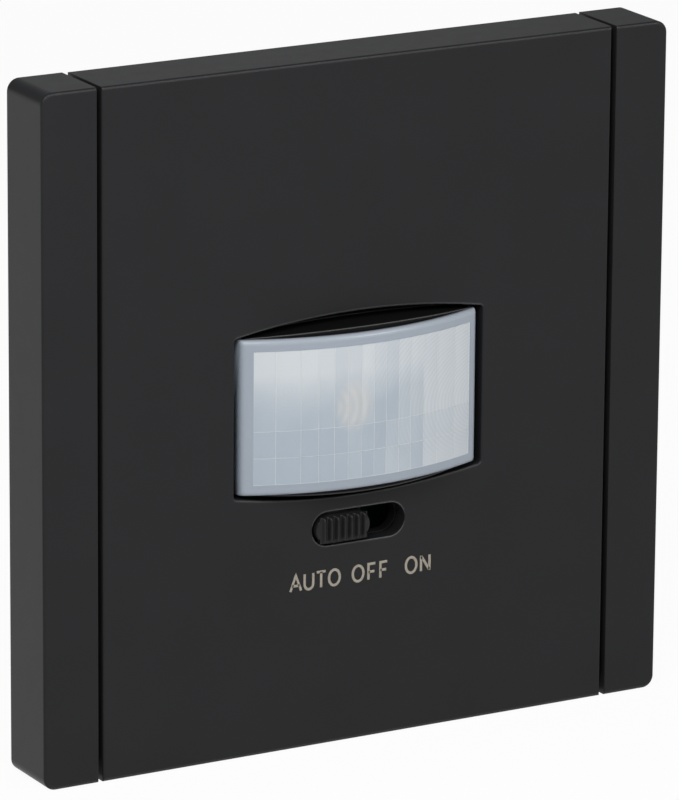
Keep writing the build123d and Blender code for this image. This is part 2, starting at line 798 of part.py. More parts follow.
# Support ring: steel plate on the wall box, with ears on which the claws swing
with BuildPart() as support_ring:
    with BuildSketch(at(0)):
        RectangleRounded(ring_size, ring_size, ring_corner_radius)
        with GridLocations(box_screw_pitch, 0, 2, 1):
            SlotOverall(box_slot_length, box_slot_width, mode=Mode.SUBTRACT)
        with GridLocations(0, box_screw_pitch, 1, 2):
            SlotOverall(box_slot_length, box_slot_width, rotation=90, mode=Mode.SUBTRACT)
        with GridLocations(2 * peg_out, 2 * peg_rise, 2, 2):
            Circle(peg_radius + peg_clearance, mode=Mode.SUBTRACT)
        with GridLocations(2 * claw_screw_out, 0, 2, 1):
            Circle(claw_screw_radius + claw_screw_clearance, mode=Mode.SUBTRACT)
    extrude(amount=ring_sheet)
    with BuildSketch(at(0)):
        flatted_disc(ring_opening_radius, ring_opening_flat)
    extrude(amount=ring_sheet, mode=Mode.SUBTRACT)
    ear_rise = claw_width / 2 + ear_gap + ear_sheet / 2
    with BuildSketch(at(-ear_depth)):
        with GridLocations(2 * claw_pivot_out, 2 * ear_rise, 2, 2):
            Rectangle(ear_length, ear_sheet)
    extrude(amount=ear_depth)
    with BuildSketch(Plane.XY):
        with Locations((-claw_pivot_out, claw_pivot_depth), (claw_pivot_out, claw_pivot_depth)):
            Circle(trunnion_radius + trunnion_clearance)
    extrude(amount=claw_width, both=True, mode=Mode.SUBTRACT)
save(support_ring.part, "support_ring")

# Insert housing: a cup behind the ring, with a floor between the sensor head and the mains parts
with BuildPart() as insert_housing:
    with BuildSketch(at(insert_cover_front)):
        flatted_disc(insert_radius, insert_flat)
    extrude(amount=-insert_cover_front)
    with BuildSketch(at(-insert_floor_depth)):
        flatted_disc(insert_inner_radius, insert_inner_flat)
    extrude(amount=insert_floor_depth, mode=Mode.SUBTRACT)
    with BuildSketch(at(insert_cover_front)):
        flatted_disc(insert_inner_radius, insert_inner_flat)
    extrude(amount=floor_back - insert_cover_front, mode=Mode.SUBTRACT)
    with BuildSketch(at(power_board_front)):
        with Locations((-insert_post_spread, insert_post_rise), (insert_post_spread, insert_post_rise)):
            Circle(shoulder_radius)
    extrude(amount=floor_back - power_board_front)
    with BuildSketch(at(insert_cover_front)):
        with Locations((-insert_post_spread, insert_post_rise), (insert_post_spread, insert_post_rise)):
            Circle(insert_post_radius)
    extrude(amount=power_board_front - insert_cover_front)
    with BuildSketch(at(insert_cover_front)):
        with Locations((-insert_post_spread, insert_post_rise), (insert_post_spread, insert_post_rise)):
            Circle(screw_shank_radius + pilot_clearance)
    extrude(amount=screw_grip, mode=Mode.SUBTRACT)
    with BuildSketch(at(floor_back)):
        with Locations((0, plug_rise)):
            Rectangle(pin_count * pin_pitch + 2 * clip_clearance, strip_height + 2 * clip_clearance)
    extrude(amount=insert_floor, mode=Mode.SUBTRACT)
    with BuildSketch(at(0)):
        with GridLocations(2 * peg_out, 2 * peg_rise, 2, 2):
            Circle(peg_radius)
    extrude(amount=ring_sheet)
    with BuildSketch(Plane.XY.offset(-insert_radius)):
        with Locations((0, -(cage_back + cage_front) / 2)):
            with GridLocations(terminal_pitch, 0, 3, 1):
                Circle(terminal_screw_head_radius + clip_clearance)
    extrude(amount=insert_radius - cage_drop, mode=Mode.SUBTRACT)
save(insert_housing.part, "insert_housing")

# Rear cover of the insert, with the wire entries
with BuildPart() as insert_cover:
    with BuildSketch(at(-insert_depth)):
        flatted_disc(insert_radius - cover_inset, insert_flat - cover_inset)
        with Locations((0, wire_rise - cage_drop)):
            with GridLocations(terminal_pitch, 0, 3, 1):
                Circle(wire_funnel_radius, mode=Mode.SUBTRACT)
        with Locations((-insert_post_spread, insert_post_rise), (insert_post_spread, insert_post_rise)):
            Circle(screw_shank_radius + pilot_clearance, mode=Mode.SUBTRACT)
    extrude(amount=insert_cover_sheet)
save(insert_cover.part, "insert_cover")

with BuildPart() as cover_screws:
    with BuildSketch(at(-insert_depth)):
        with Locations((-insert_post_spread, insert_post_rise), (insert_post_spread, insert_post_rise)):
            Circle(screw_shank_radius)
    extrude(amount=insert_cover_sheet + screw_grip - pin_tail)
    with BuildSketch(at(-insert_depth)):
        with Locations((-insert_post_spread, insert_post_rise), (insert_post_spread, insert_post_rise)):
            Circle(screw_head_radius)
    extrude(amount=-screw_head_height)
    with BuildSketch(at(-insert_depth - screw_head_height)):
        with Locations((-insert_post_spread, insert_post_rise), (insert_post_spread, insert_post_rise)):
            Rectangle(2 * screw_head_radius, screw_slot_width)
    extrude(amount=screw_slot_depth, mode=Mode.SUBTRACT)
save(cover_screws.part, "cover_screws")

# Power board, held between the posts' shoulders and the terminal block
with BuildPart() as power_board:
    with BuildSketch(at(power_board_back)):
        flatted_disc(insert_inner_radius - board_gap, insert_inner_flat - board_gap)
        with Locations((-insert_post_spread, insert_post_rise), (insert_post_spread, insert_post_rise)):
            Circle(insert_post_radius + clip_clearance, mode=Mode.SUBTRACT)
        with Locations((0, -tag_drop)):
            with GridLocations(terminal_pitch, 0, 3, 1):
                Rectangle(tag_width + 2 * fit_gap, tag_thickness + 2 * fit_gap, mode=Mode.SUBTRACT)
    extrude(amount=board_thickness)
save(power_board.part, "power_board")

# Relay that switches the lamp
with BuildPart() as relay:
    with BuildSketch(at(power_board_back)):
        with Locations((relay_place, relay_rise)):
            Rectangle(relay_length, relay_width)
    extrude(amount=-relay_height)
    fillet(relay.edges().filter_by(Axis.Y), relay_round)
    fillet(relay.faces().sort_by(Axis.Y)[-1].edges(), relay_round)
save(relay.part, "relay")

# Electrolytic capacitor: an aluminium can in a sleeve, with its crimp near the board
with BuildPart() as main_capacitor:
    with BuildSketch(at(power_board_back)):
        with Locations((capacitor_place, relay_rise)):
            Circle(capacitor_radius)
    extrude(amount=-capacitor_height)
    fillet(main_capacitor.faces().sort_by(Axis.Y)[-1].edges(), relay_round)
    with BuildSketch(at(power_board_back - capacitor_radius / 4)):
        with Locations((capacitor_place, relay_rise)):
            Circle(capacitor_radius)
            Circle(capacitor_radius - capacitor_crimp, mode=Mode.SUBTRACT)
    extrude(amount=-2 * capacitor_crimp, mode=Mode.SUBTRACT)
save(main_capacitor.part, "main_capacitor")

# Film capacitor of the supply
with BuildPart() as film_capacitor:
    with BuildSketch(at(power_board_back)):
        with Locations((0, film_rise)):
            Rectangle(film_length, film_width)
    extrude(amount=-film_height)
    fillet(film_capacitor.edges().filter_by(Axis.Y), relay_round)
save(film_capacitor.part, "film_capacitor")

# Varistor: a coated disc on two leads
with BuildPart() as varistor:
    with BuildSketch(Plane.YZ.offset(-varistor_place)):
        with Locations((varistor_radius + board_gap - power_board_back, -lower_row_drop)):
            Circle(varistor_radius)
    extrude(amount=varistor_thickness / 2, both=True)
    fillet(varistor.edges(), varistor_thickness / 4)
    with BuildSketch(at(power_board_back)):
        with Locations((-varistor_place, -lower_row_drop)):
            with GridLocations(0, varistor_radius, 1, 2):
                Circle(2 * lead_radius)
    extrude(amount=-varistor_radius)
save(varistor.part, "varistor")

with BuildPart() as fuse:
    with BuildSketch(at(power_board_back)):
        with Locations((-fuse_place, -lower_row_drop)):
            Rectangle(fuse_length, fuse_width)
    extrude(amount=-fuse_height)
    fillet(fuse.edges().filter_by(Axis.Y), relay_round)
save(fuse.part, "fuse")

# Choke: a ferrite drum with its copper winding
with BuildPart() as choke_core:
    with BuildSketch(at(power_board_back)):
        with Locations((choke_place, -lower_row_drop)):
            Circle(choke_radius)
    extrude(amount=-choke_height)
    with BuildSketch(at(power_board_back - choke_flange)):
        with Locations((choke_place, -lower_row_drop)):
            Circle(choke_radius)
            Circle(choke_waist_radius, mode=Mode.SUBTRACT)
    extrude(amount=2 * choke_flange - choke_height, mode=Mode.SUBTRACT)
save(choke_core.part, "choke_core")

with BuildPart() as choke_winding:
    with BuildSketch(at(power_board_back - choke_flange)):
        with Locations((choke_place, -lower_row_drop)):
            Circle(choke_radius - choke_inset)
            Circle(choke_waist_radius, mode=Mode.SUBTRACT)
    extrude(amount=2 * choke_flange - choke_height)
save(choke_winding.part, "choke_winding")

# Terminal block: a plastic comb between the power board and the rear cover
with BuildPart() as terminal_block:
    with BuildSketch(at(insert_cover_front)):
        with Locations((0, -cage_drop)):
            Rectangle(2 * block_half_width, 2 * block_half_height)
    extrude(amount=power_board_back - insert_cover_front)
    with BuildSketch(at(insert_cover_front)):
        with Locations((0, -cage_drop)):
            with GridLocations(terminal_pitch, 0, 3, 1):
                Rectangle(cage_width + 2 * terminal_clearance, cage_height + 2 * terminal_clearance)
    extrude(amount=cage_front - insert_cover_front + terminal_clearance, mode=Mode.SUBTRACT)
    with BuildSketch(at(insert_cover_front)):
        with Locations((0, -tag_drop)):
            with GridLocations(terminal_pitch, 0, 3, 1):
                Rectangle(tag_width + 2 * fit_gap, tag_thickness + 2 * fit_gap)
    extrude(amount=power_board_back - insert_cover_front, mode=Mode.SUBTRACT)
    with BuildSketch(Plane.XY.offset(-insert_radius)):
        with Locations((0, -(cage_back + cage_front) / 2)):
            with GridLocations(terminal_pitch, 0, 3, 1):
                Circle(terminal_screw_head_radius + clip_clearance)
    extrude(amount=insert_radius - cage_drop, mode=Mode.SUBTRACT)
save(terminal_block.part, "terminal_block")

# Brass cages, each with a bore for the wire and a threaded hole for its screw
for place, label in zip(cage_rows, ("terminal_live", "terminal_load", "terminal_neutral")):
    with BuildPart() as cage:
        with BuildSketch(at(cage_back)):
            with Locations((place, -cage_drop)):
                Rectangle(cage_width, cage_height)
            with Locations((place, wire_rise - cage_drop)):
                Circle(wire_radius, mode=Mode.SUBTRACT)
        extrude(amount=cage_length)
        with BuildSketch(at(cage_front - tag_thickness)):
            with Locations((place, -tag_drop)):
                Rectangle(tag_width, tag_thickness)
        extrude(amount=power_board_front - cage_front + tag_thickness)
        with BuildSketch(Plane.XY.offset(-cage_drop - cage_height / 2)):
            with Locations((place, -(cage_back + cage_front) / 2)):
                Circle(terminal_screw_radius + running_gap)
        extrude(amount=cage_height / 2 + wire_rise - wire_radius / 2, mode=Mode.SUBTRACT)
        with BuildSketch(at(cage_back)):
            with Locations((place, wire_rise - cage_drop)):
                Circle(wire_radius)
        extrude(amount=cage_length, mode=Mode.SUBTRACT)
    save(cage.part, label)

# Terminal screws, backed off so that each wire bore is clear
with BuildPart() as terminal_screws:
    screw_seat = -cage_drop - cage_height / 2 - terminal_clearance
    screw_tip = wire_rise - cage_drop - wire_radius - board_gap
    with BuildSketch(Plane.XY.offset(screw_seat)):
        with Locations((0, -(cage_back + cage_front) / 2)):
            with GridLocations(terminal_pitch, 0, 3, 1):
                Circle(terminal_screw_radius)
    extrude(amount=screw_tip - screw_seat)
    with BuildSketch(Plane.XY.offset(screw_seat)):
        with Locations((0, -(cage_back + cage_front) / 2)):
            with GridLocations(terminal_pitch, 0, 3, 1):
                Circle(terminal_screw_head_radius)
    extrude(amount=-terminal_screw_head_height)
    with BuildSketch(Plane.XY.offset(screw_seat - terminal_screw_head_height)):
        with Locations((0, -(cage_back + cage_front) / 2)):
            with GridLocations(terminal_pitch, 0, 3, 1):
                Rectangle(2 * terminal_screw_head_radius, dial_slot_width)
    extrude(amount=dial_slot_depth, mode=Mode.SUBTRACT)
save(terminal_screws.part, "terminal_screws")

# Fixing claws: each swings on trunnions in the ring's ears, spread by a nut on its screw
for side, hand in ((-1, "left"), (1, "right")):
    pivot = (side * claw_pivot_out, claw_pivot_depth)

    def along(reach, out):
        """Point on the claw's side view: reach from the pivot along the blade, out from its middle."""
        return (
            side * (claw_pivot_out + reach * sin(claw_angle) + out * cos(claw_angle)),
            claw_pivot_depth + reach * cos(claw_angle) - out * sin(claw_angle),
        )

    with BuildPart() as claw:
        with BuildSketch(Plane.XY):
            with BuildLine():
                Polyline(
                    along(0, -claw_sheet / 2),
                    along(claw_length, -claw_sheet / 2),
                    along(claw_length, claw_sheet / 2 + claw_tooth),
                    along(claw_length - claw_tooth_length, claw_sheet / 2),
                    along(0, claw_sheet / 2),
                    close=True,
                )
            make_face()
            with Locations(pivot):
                Circle(knuckle_radius)
        extrude(amount=claw_width / 2, both=True)
        with BuildSketch(Plane.XY):
            with Locations(pivot):
                Circle(trunnion_radius)
        extrude(amount=claw_width / 2 + ear_gap + ear_sheet, both=True)
        with BuildSketch(Plane.XY):
            with BuildLine():
                Polyline(
                    along(-2 * knuckle_radius, -2 * knuckle_radius),
                    along(claw_fork_length, -2 * knuckle_radius),
                    along(claw_fork_length, 2 * knuckle_radius),
                    along(-2 * knuckle_radius, 2 * knuckle_radius),
                    close=True,
                )
            make_face()
        extrude(amount=claw_screw_radius + claw_screw_gap, both=True, mode=Mode.SUBTRACT)
        for level in (-1, 1):
            with BuildSketch(Plane.XY.offset(level * claw_width / 4)):
                with BuildLine():
                    Polyline(
                        along(claw_length - claw_tooth_length / 2, -claw_sheet),
                        along(claw_length + claw_tooth_length, -claw_sheet),
                        along(claw_length + claw_tooth_length, 2 * claw_sheet),
                        along(claw_length - claw_tooth_length / 2, 2 * claw_sheet),
                        close=True,
                    )
                make_face()
            extrude(amount=claw_tooth_gap / 2, both=True, mode=Mode.SUBTRACT)
    save(claw.part, f"claw_{hand}")

    with BuildPart() as claw_nut:
        with BuildSketch(at(-nut_depth - nut_length)):
            with Locations((side * (nut_in + nut_out) / 2, 0)):
                Rectangle(nut_out - nut_in, nut_height)
            with Locations((side * claw_screw_out, 0)):
                Circle(claw_screw_radius + nut_clearance, mode=Mode.SUBTRACT)
        extrude(amount=nut_length)
    save(claw_nut.part, f"claw_nut_{hand}")

    with BuildPart() as claw_screw:
        with BuildSketch(at(-nut_depth - nut_length - claw_screw_gap)):
            with Locations((side * claw_screw_out, 0)):
                Circle(claw_screw_radius)
        extrude(amount=nut_depth + nut_length + claw_screw_gap + ring_sheet)
        with BuildSketch(at(ring_sheet)):
            with Locations((side * claw_screw_out, 0)):
                Circle(claw_screw_head_radius)
        extrude(amount=claw_screw_head_height)
        fillet(claw_screw.faces().sort_by(Axis.Y)[0].edges(), claw_screw_head_height / 3)
        with BuildSketch(at(ring_sheet + claw_screw_head_height - dial_slot_depth)):
            with Locations((side * claw_screw_out, 0)):
                Rectangle(2 * claw_screw_head_radius, dial_slot_width)
        extrude(amount=dial_slot_depth, mode=Mode.SUBTRACT)
    save(claw_screw.part, f"claw_screw_{hand}")
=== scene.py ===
"""Looks of a flush-mounted motion sensor light switch, round its solid model.

Lengths are in metres. +X is right, +Z is up and the front faces -Y. The wall plane is y = 0.
"""

import json
from collections import namedtuple
from math import cos, pi, radians, sin, sqrt, tau

import bmesh
import bpy
from bpy.props import FloatProperty, FloatVectorProperty, IntProperty, PointerProperty
from mathutils import Matrix, Quaternion, Vector


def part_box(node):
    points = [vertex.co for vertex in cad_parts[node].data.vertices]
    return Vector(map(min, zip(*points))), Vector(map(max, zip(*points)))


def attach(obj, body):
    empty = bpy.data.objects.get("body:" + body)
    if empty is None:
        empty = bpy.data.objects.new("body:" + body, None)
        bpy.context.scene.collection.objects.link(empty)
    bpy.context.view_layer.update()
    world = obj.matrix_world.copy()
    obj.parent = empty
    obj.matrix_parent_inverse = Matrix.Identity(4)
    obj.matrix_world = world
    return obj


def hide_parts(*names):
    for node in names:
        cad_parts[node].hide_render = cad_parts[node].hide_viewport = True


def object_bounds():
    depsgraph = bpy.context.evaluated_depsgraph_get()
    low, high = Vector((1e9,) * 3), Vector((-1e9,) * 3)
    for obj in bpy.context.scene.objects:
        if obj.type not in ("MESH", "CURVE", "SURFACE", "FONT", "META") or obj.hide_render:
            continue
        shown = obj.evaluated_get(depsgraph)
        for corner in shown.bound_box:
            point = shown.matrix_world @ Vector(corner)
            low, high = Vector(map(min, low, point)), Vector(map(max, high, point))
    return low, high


bl_info = {
    "name": "Motion Sensor Light Switch",
    "version": (1, 0, 0),
    "blender": (4, 5, 0),
    "location": "3D View > Sidebar > Light Switch",
    "description": "Lens, legends, screws and finishes of a flush-mounted motion sensor light switch",
    "category": "Add Mesh",
}

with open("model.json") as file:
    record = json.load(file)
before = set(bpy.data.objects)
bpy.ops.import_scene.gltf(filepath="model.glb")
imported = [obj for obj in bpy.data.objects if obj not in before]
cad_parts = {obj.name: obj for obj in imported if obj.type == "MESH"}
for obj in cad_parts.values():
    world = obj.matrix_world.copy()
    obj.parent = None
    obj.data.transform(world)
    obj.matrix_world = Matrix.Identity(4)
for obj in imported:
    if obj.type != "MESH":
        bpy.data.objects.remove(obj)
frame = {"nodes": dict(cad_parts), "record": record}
cad_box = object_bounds()

# Facets of the lens: widths from the middle outwards, and heights from the top down
column_shares = (0.113, 0.122, 0.118, 0.134, 0.146, 0.199, 0.168)
row_shares = (0.60, 0.20, 0.20)

# How fast the facets' tone changes, in radians per metre
column_turn = 2600
row_turn = 250

# One line of mesh on the lens: its place, how far the round lets the face fall there, and what it
# lies on, which is "border", "ridge", or the middle and half width of its facet
LensLine = namedtuple("LensLine", "place fall on")

# Which of the lens's two finishes is the plain one
plain_index = 1

# Steps of a quarter round on the knob
quarter_turns = [k * pi / 10 for k in range(6)]

# Strokes of each letter in a box of one by one, and the letter's width as a share of its height
bowl = [(0.5 - 0.5 * cos(k * pi / 12), 0.34 - 0.34 * sin(k * pi / 12)) for k in range(13)]
ring = [(0.5 + 0.5 * cos(k * tau / 28), 0.5 + 0.5 * sin(k * tau / 28)) for k in range(28)]
letter_strokes = {
    "A": [[(0, 0), (0.5, 1), (1, 0)], [(0.17, 0.34), (0.83, 0.34)]],
    "U": [[(0, 1), *bowl, (1, 1)]],
    "T": [[(0, 1), (1, 1)], [(0.5, 1), (0.5, 0)]],
    "O": [[*ring, ring[0]]],
    "F": [[(0, 0), (0, 1), (1, 1)], [(0, 0.5), (0.86, 0.5)]],
    "N": [[(0, 0), (0, 1)], [(0.04, 0.95), (0.96, 0.05)], [(1, 0), (1, 1)]],
    "L": [[(0, 1), (0, 0), (1, 0)]],
    "arrow": [[(0.5, 0), (0.5, 1)], [(0.1, 0.6), (0.5, 1), (0.9, 0.6)]],
}
letter_width_shares = {
    "A": 0.79, "U": 0.66, "T": 0.68, "O": 0.79, "F": 0.56, "N": 0.66, "L": 0.5, "arrow": 0.6,
}

# Left and right end of each word, and the mark over each wire entry
legend_spans = {"AUTO": (-0.00940, -0.00235), "OFF": (-0.00090, 0.00416), "ON": (0.00640, 0.01000)}
terminal_marks = {"terminal_live": "L", "terminal_load": "arrow", "terminal_neutral": "N"}


def length(name, description, default):
    """Property for one length."""
    return FloatProperty(name=name, description=description, default=default, unit="LENGTH", precision=5)


def number(name, description, default):
    """Property for one plain number."""
    return FloatProperty(name=name, description=description, default=default, precision=3)


def angle(name, description, degrees):
    """Property for one angle, given in degrees."""
    return FloatProperty(name=name, description=description, default=radians(degrees), subtype="ANGLE")


def colour(name, description, default):
    """Property for one colour."""
    return FloatVectorProperty(
        name=name, description=description, default=default, subtype="COLOR", size=3, min=0.0, max=1.0
    )


class LensSizes(bpy.types.PropertyGroup):
    """Sizes of the milky sheet lens."""

    sheet: length("Sheet", "Thickness of the bulged sheet", 0.00085)
    flange: length("Flange", "Thickness of the flange down each side", 0.0006)
    border: length("Border", "Plain border round the facets", 0.00135)
    edge_round: length("Edge round", "Round along the edges of the bulge", 0.0005)
    crown: length("Crown", "How far each facet stands out in its middle", 0.00006)
    ridge: length("Ridge", "Height of the line between two facets", 0.00005)
    ridge_width: length("Ridge width", "Half width of the line between two facets", 0.000035)
    groove_depth: length("Groove depth", "Depth of the fine rings in each facet", 0.000003)
    groove_pitch: length("Groove pitch", "Distance from ring to ring", 0.00045)
    step: length("Step", "Size of the mesh on the facets", 0.0001)


class LegendSizes(bpy.types.PropertyGroup):
    """Sizes of the lettering on the front plate and of the marks at the terminals."""

    height: length("Height", "Height of the letters on the front plate", 0.00227)
    drop: length("Drop", "Foot of the letters below the middle of the plate", 0.02242)
    stroke: length("Stroke", "Width of a stroke", 0.00033)
    proud: length("Proud", "How far the letters stand out", 0.00004)
    mark_height: length("Mark height", "Height of the marks at the wire entries", 0.0024)
    mark_stroke: length("Mark stroke", "Stroke of the marks at the wire entries", 0.0004)
    mark_proud: length("Mark proud", "How far the marks at the wire entries stand out", 0.0002)
    mark_gap: length("Mark gap", "From a wire entry to its mark", 0.0008)


class KnobSizes(bpy.types.PropertyGroup):
    """Sizes of the slide switch's knob."""

    block_height: length("Block height", "How far the ribbed block stands on the foot", 0.0006)
    block_length: length("Block length", "Length of the ribbed block", 0.0064)
    block_round: length("Block round", "Round at the ends of the ribbed block", 0.0007)
    ribs: IntProperty(name="Ribs", description="Ribs across the block", default=7, min=3, max=12)
    rib_depth: length("Rib depth", "Depth between two ribs", 0.00055)
    step: length("Step", "Size of the mesh on the ribs", 0.00005)
    foot_round: length("Foot round", "Round along the front edge of the foot", 0.0003)
    plate: length("Plate", "Thickness of the plate round the knob", 0.002)
    neck_length: length("Neck length", "Length of the neck behind the plate", 0.004)
    neck_height: length("Neck height", "Height of the neck behind the plate", 0.003)
    socket: length("Socket", "Width of the socket for the switch's stem", 0.0021)
    socket_back: length("Socket back", "How far the socket's middle lies behind the neck's", 0.001)


class ScrewSizes(bpy.types.PropertyGroup):
    """Sizes of the screws that show."""

    claw_pitch: length("Claw screw pitch", "Thread pitch of the claw screws", 0.0007)
    claw_thread: length("Claw screw thread", "Thread depth of the claw screws", 0.0003)
    claw_head: length("Claw screw head", "Radius of the claw screws' heads", 0.0022)
    claw_shank: length("Claw screw shank", "Outer radius of the claw screws' threads", 0.0015)
    cover_head: length("Cover screw head", "Radius of the cover screws' heads", 0.0017)
    cover_shank: length("Cover screw shank", "Radius of the cover screws' shanks", 0.001)
    slot_width: length("Slot width", "Width of a claw screw's slot", 0.0008)
    slot_depth: length("Slot depth", "Depth of a slot or cross", 0.0007)
    cross_width: length("Cross width", "Width of the arms of a cover screw's cross", 0.00055)
    cross_length: length("Cross length", "Length of the arms of a cover screw's cross", 0.0021)
    sides: IntProperty(name="Sides", description="Sides of each round form", default=32, min=12, max=96)


class FinishColours(bpy.types.PropertyGroup):
    """Colours of the finishes."""

    black: colour("Black plastic", "Cover frame and front plate", (0.0145, 0.0147, 0.0158))
    knob: colour("Knob", "Ribbed knob of the slide switch", (0.0115, 0.0115, 0.0122))
    # Lighter colour painted on level front edges as a highlight
    edge: colour("Painted edge highlight", "Edges of the black plastic", (0.095, 0.095, 0.098))
    # Darker copy of the black plastic: painted shade that keeps the ledge above the lens dark
    hood: colour("Hood", "Hood behind the lens", (0.0035, 0.0035, 0.0038))
    head: colour("Head plastic", "Sensor head", (0.010, 0.010, 0.011))
    milk: colour("Lens", "Facets of the lens", (0.62, 0.65, 0.67))
    milk_shade: colour("Lens shade", "Cooler facets, before the dark tube", (0.38, 0.44, 0.50))
    # Painted glow of the sensor's can, seen through the lens
    milk_warm: colour("Lens glow", "Warmer place in front of the sensor", (0.60, 0.588, 0.57))
    # Darker and bluer than the facets: painted shade of the dark hood behind the border
    milk_border: colour("Lens border", "Plain border of the lens", (0.315, 0.355, 0.410))
    legend: colour("Legend", "Lettering on the front plate", (0.32, 0.285, 0.235))
    insert: colour("Insert", "Insert housing and its cover", (0.50, 0.51, 0.53))
    mark: colour("Mark", "Marks at the wire entries", (0.06, 0.06, 0.065))
    terminal: colour("Terminal plastic", "Terminal block and switch base", (0.26, 0.27, 0.28))
    zinc: colour("Zinc", "Plated steel", (0.66, 0.67, 0.68))
    brass: colour("Brass", "Terminal cages", (0.80, 0.62, 0.28))
    copper: colour("Copper", "Winding", (0.72, 0.34, 0.16))
    board: colour("Board", "Circuit boards", (0.04, 0.20, 0.09))
    white: colour("White plastic", "Dials and switch slider", (0.72, 0.72, 0.68))


class StageLevels(bpy.types.PropertyGroup):
    """Camera, lamps and background."""

    azimuth: angle("Azimuth", "How far the camera stands to the side of the front", -29.40)
    elevation: angle("Elevation", "How far the camera stands above the middle", 15.88)
    roll: angle("Roll", "How far the camera leans to one side", 0.44)
    distance: length("Distance", "From the camera to its target", 0.794)
    focal: number("Focal length", "In millimetres, for a 36 mm sensor", 298.0)
    key: number("Key", "Power of the lamp in front, above and right, in watts", 1.05)
    fill: number("Fill", "Power of the lamp in front, above and left, in watts", 0.54)
    back: number("Back", "Power of the lamp behind, in watts", 0.04)
    sky: number("Sky", "Strength of the even light all round", 0.27)
    floor_white: number("Floor white", "Share of plain white in what the camera sees of the floor", 0.95)


def new_piece(name, mesh_edit, body, slot_name, *materials):
    """Object from a bmesh, riding on a body."""
    mesh = bpy.data.meshes.new(name)
    bmesh.ops.recalc_face_normals(mesh_edit, faces=mesh_edit.faces)
    mesh_edit.to_mesh(mesh)
    mesh_edit.free()
    piece = bpy.data.objects.new(name, mesh)
    bpy.context.collection.objects.link(piece)
    for material in materials:
        mesh.materials.append(material)
    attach(piece, body)
    return piece


def smooth(mesh_edit, sharp_angle=radians(35)):
    """Smooth faces, with the sharper edges kept sharp."""
    for face in mesh_edit.faces:
        face.smooth = True
    for edge in mesh_edit.edges:
        edge.smooth = edge.calc_face_angle(pi) < sharp_angle


def grid_faces(mesh_edit, rows, dress=None):
    """Quads between rows of vertices; dress gets each face with its row and place in the row."""
    for j, (low, high) in enumerate(zip(rows, rows[1:])):
        for k in range(len(low) - 1):
            face = mesh_edit.faces.new((low[k], low[k + 1], high[k + 1], high[k]))
            if dress:
                dress(face, j, k)


def facet_lines(edges, foot, step):
    """Lines over a row of facets, with one on each ridge beside them."""
    lines = []
    for low, high in zip(edges, edges[1:]):
        middle = (low + high) / 2
        half = (high - low) / 2
        span = high - low - 2 * foot
        count = max(2, round(span / step))
        lines.append(LensLine(low, 0.0, "ridge"))
        lines += [LensLine(low + foot + span * k / count, 0.0, (middle, half)) for k in range(count + 1)]
    lines.append(LensLine(edges[-1], 0.0, "ridge"))
    return lines


def rounded_end(limit, field_end, radius, steps=4, flat_shares=(0.2, 0.6)):
    """Places from the field's end out to the limit, each with how far the round lets the face fall."""
    flat = [(field_end + (limit - radius - field_end) * share, 0.0) for share in flat_shares]
    turns = [k * pi / 2 / steps for k in range(steps + 1)]
    return flat + [(limit - radius + radius * sin(turn), radius * (1 - cos(turn))) for turn in turns]


def lens_lines(half, border, radius, edges, foot, step):
    """All lines one way across the lens: border and round, facets, border and round."""
    ends = rounded_end(half, half - border, radius)
    before = [LensLine(-place, fall, "border") for place, fall in reversed(ends)]
    after = [LensLine(place, fall, "border") for place, fall in ends]
    return before + facet_lines(edges, foot, step) + after


def facet_relief(x_line, z_line, sizes):
    """How far the face stands out of the plain bulge where two lines cross."""
    if "border" in (x_line.on, z_line.on):
        return 0.0
    if "ridge" in (x_line.on, z_line.on):
        return sizes.ridge
    (middle_x, half_width), (middle_z, half_height) = x_line.on, z_line.on
    side_share = (x_line.place - middle_x) / half_width
    up_share = (z_line.place - middle_z) / half_height
    ring_distance = sqrt((x_line.place - middle_x) ** 2 + (z_line.place - middle_z) ** 2)
    groove = sizes.groove_depth * sin(tau * ring_distance / sizes.groove_pitch)
    return sizes.crown * (1 - side_share**2) * (1 - up_share**4 / 2) + groove


def facet_tone(x_line, z_line):
    """Tone of one facet from 0.2 to 1, uneven from column to column. The lines between facets keep 0."""
    return 0.6 + 0.4 * sin(x_line.on[0] * column_turn + z_line.on[0] * row_turn)


def facet_columns(field_half):
    """Places of the upright lines of the lens, from left to right."""
    right = [0.0]
    for share in column_shares:
        right.append(right[-1] + share * field_half)
    return [-x for x in reversed(right[1:])] + right


def facet_rows(field_top):
    """Places of the level lines of the lens, from the foot up."""
    rows = [field_top]
    for share in row_shares:
        rows.append(rows[-1] - share * 2 * field_top)
    return rows[::-1]


def lens_front(lens, across, upward, radius, axis_y, sizes):
    """Bulged front of the lens, as rows of vertices, with the facets' tones and the plain border."""
    tone = lens.faces.layers.float.new("facet_tone")
    rows = []
    for z_line in upward:
        row = []
        for x_line in across:
            y = axis_y - sqrt(radius**2 - x_line.place**2) + x_line.fall + z_line.fall
            y -= facet_relief(x_line, z_line, sizes)
            row.append(lens.verts.new((x_line.place, y, z_line.place)))
        rows.append(row)

    def dress(face, j, k):
        beside = [line.on for line in (across[k], across[k + 1], upward[j], upward[j + 1])]
        if "border" in beside:
            face.material_index = plain_index
        elif "ridge" not in beside:
            face[tone] = facet_tone(across[k], upward[j])

    grid_faces(lens, rows, dress)
    return rows


def lens_back(lens, across, radius, axis_y, half_width, inner_half, half_height):
    """Plain back of the bulge, as one row of vertices at its foot and one at its top."""
    rows = []
    for level in (-half_height, half_height):
        row = []
        for line in across:
            x = line.place * inner_half / half_width
            row.append(lens.verts.new((x, axis_y - sqrt(radius**2 - x**2), level)))
        rows.append(row)
    grid_faces(lens, rows)
    return rows


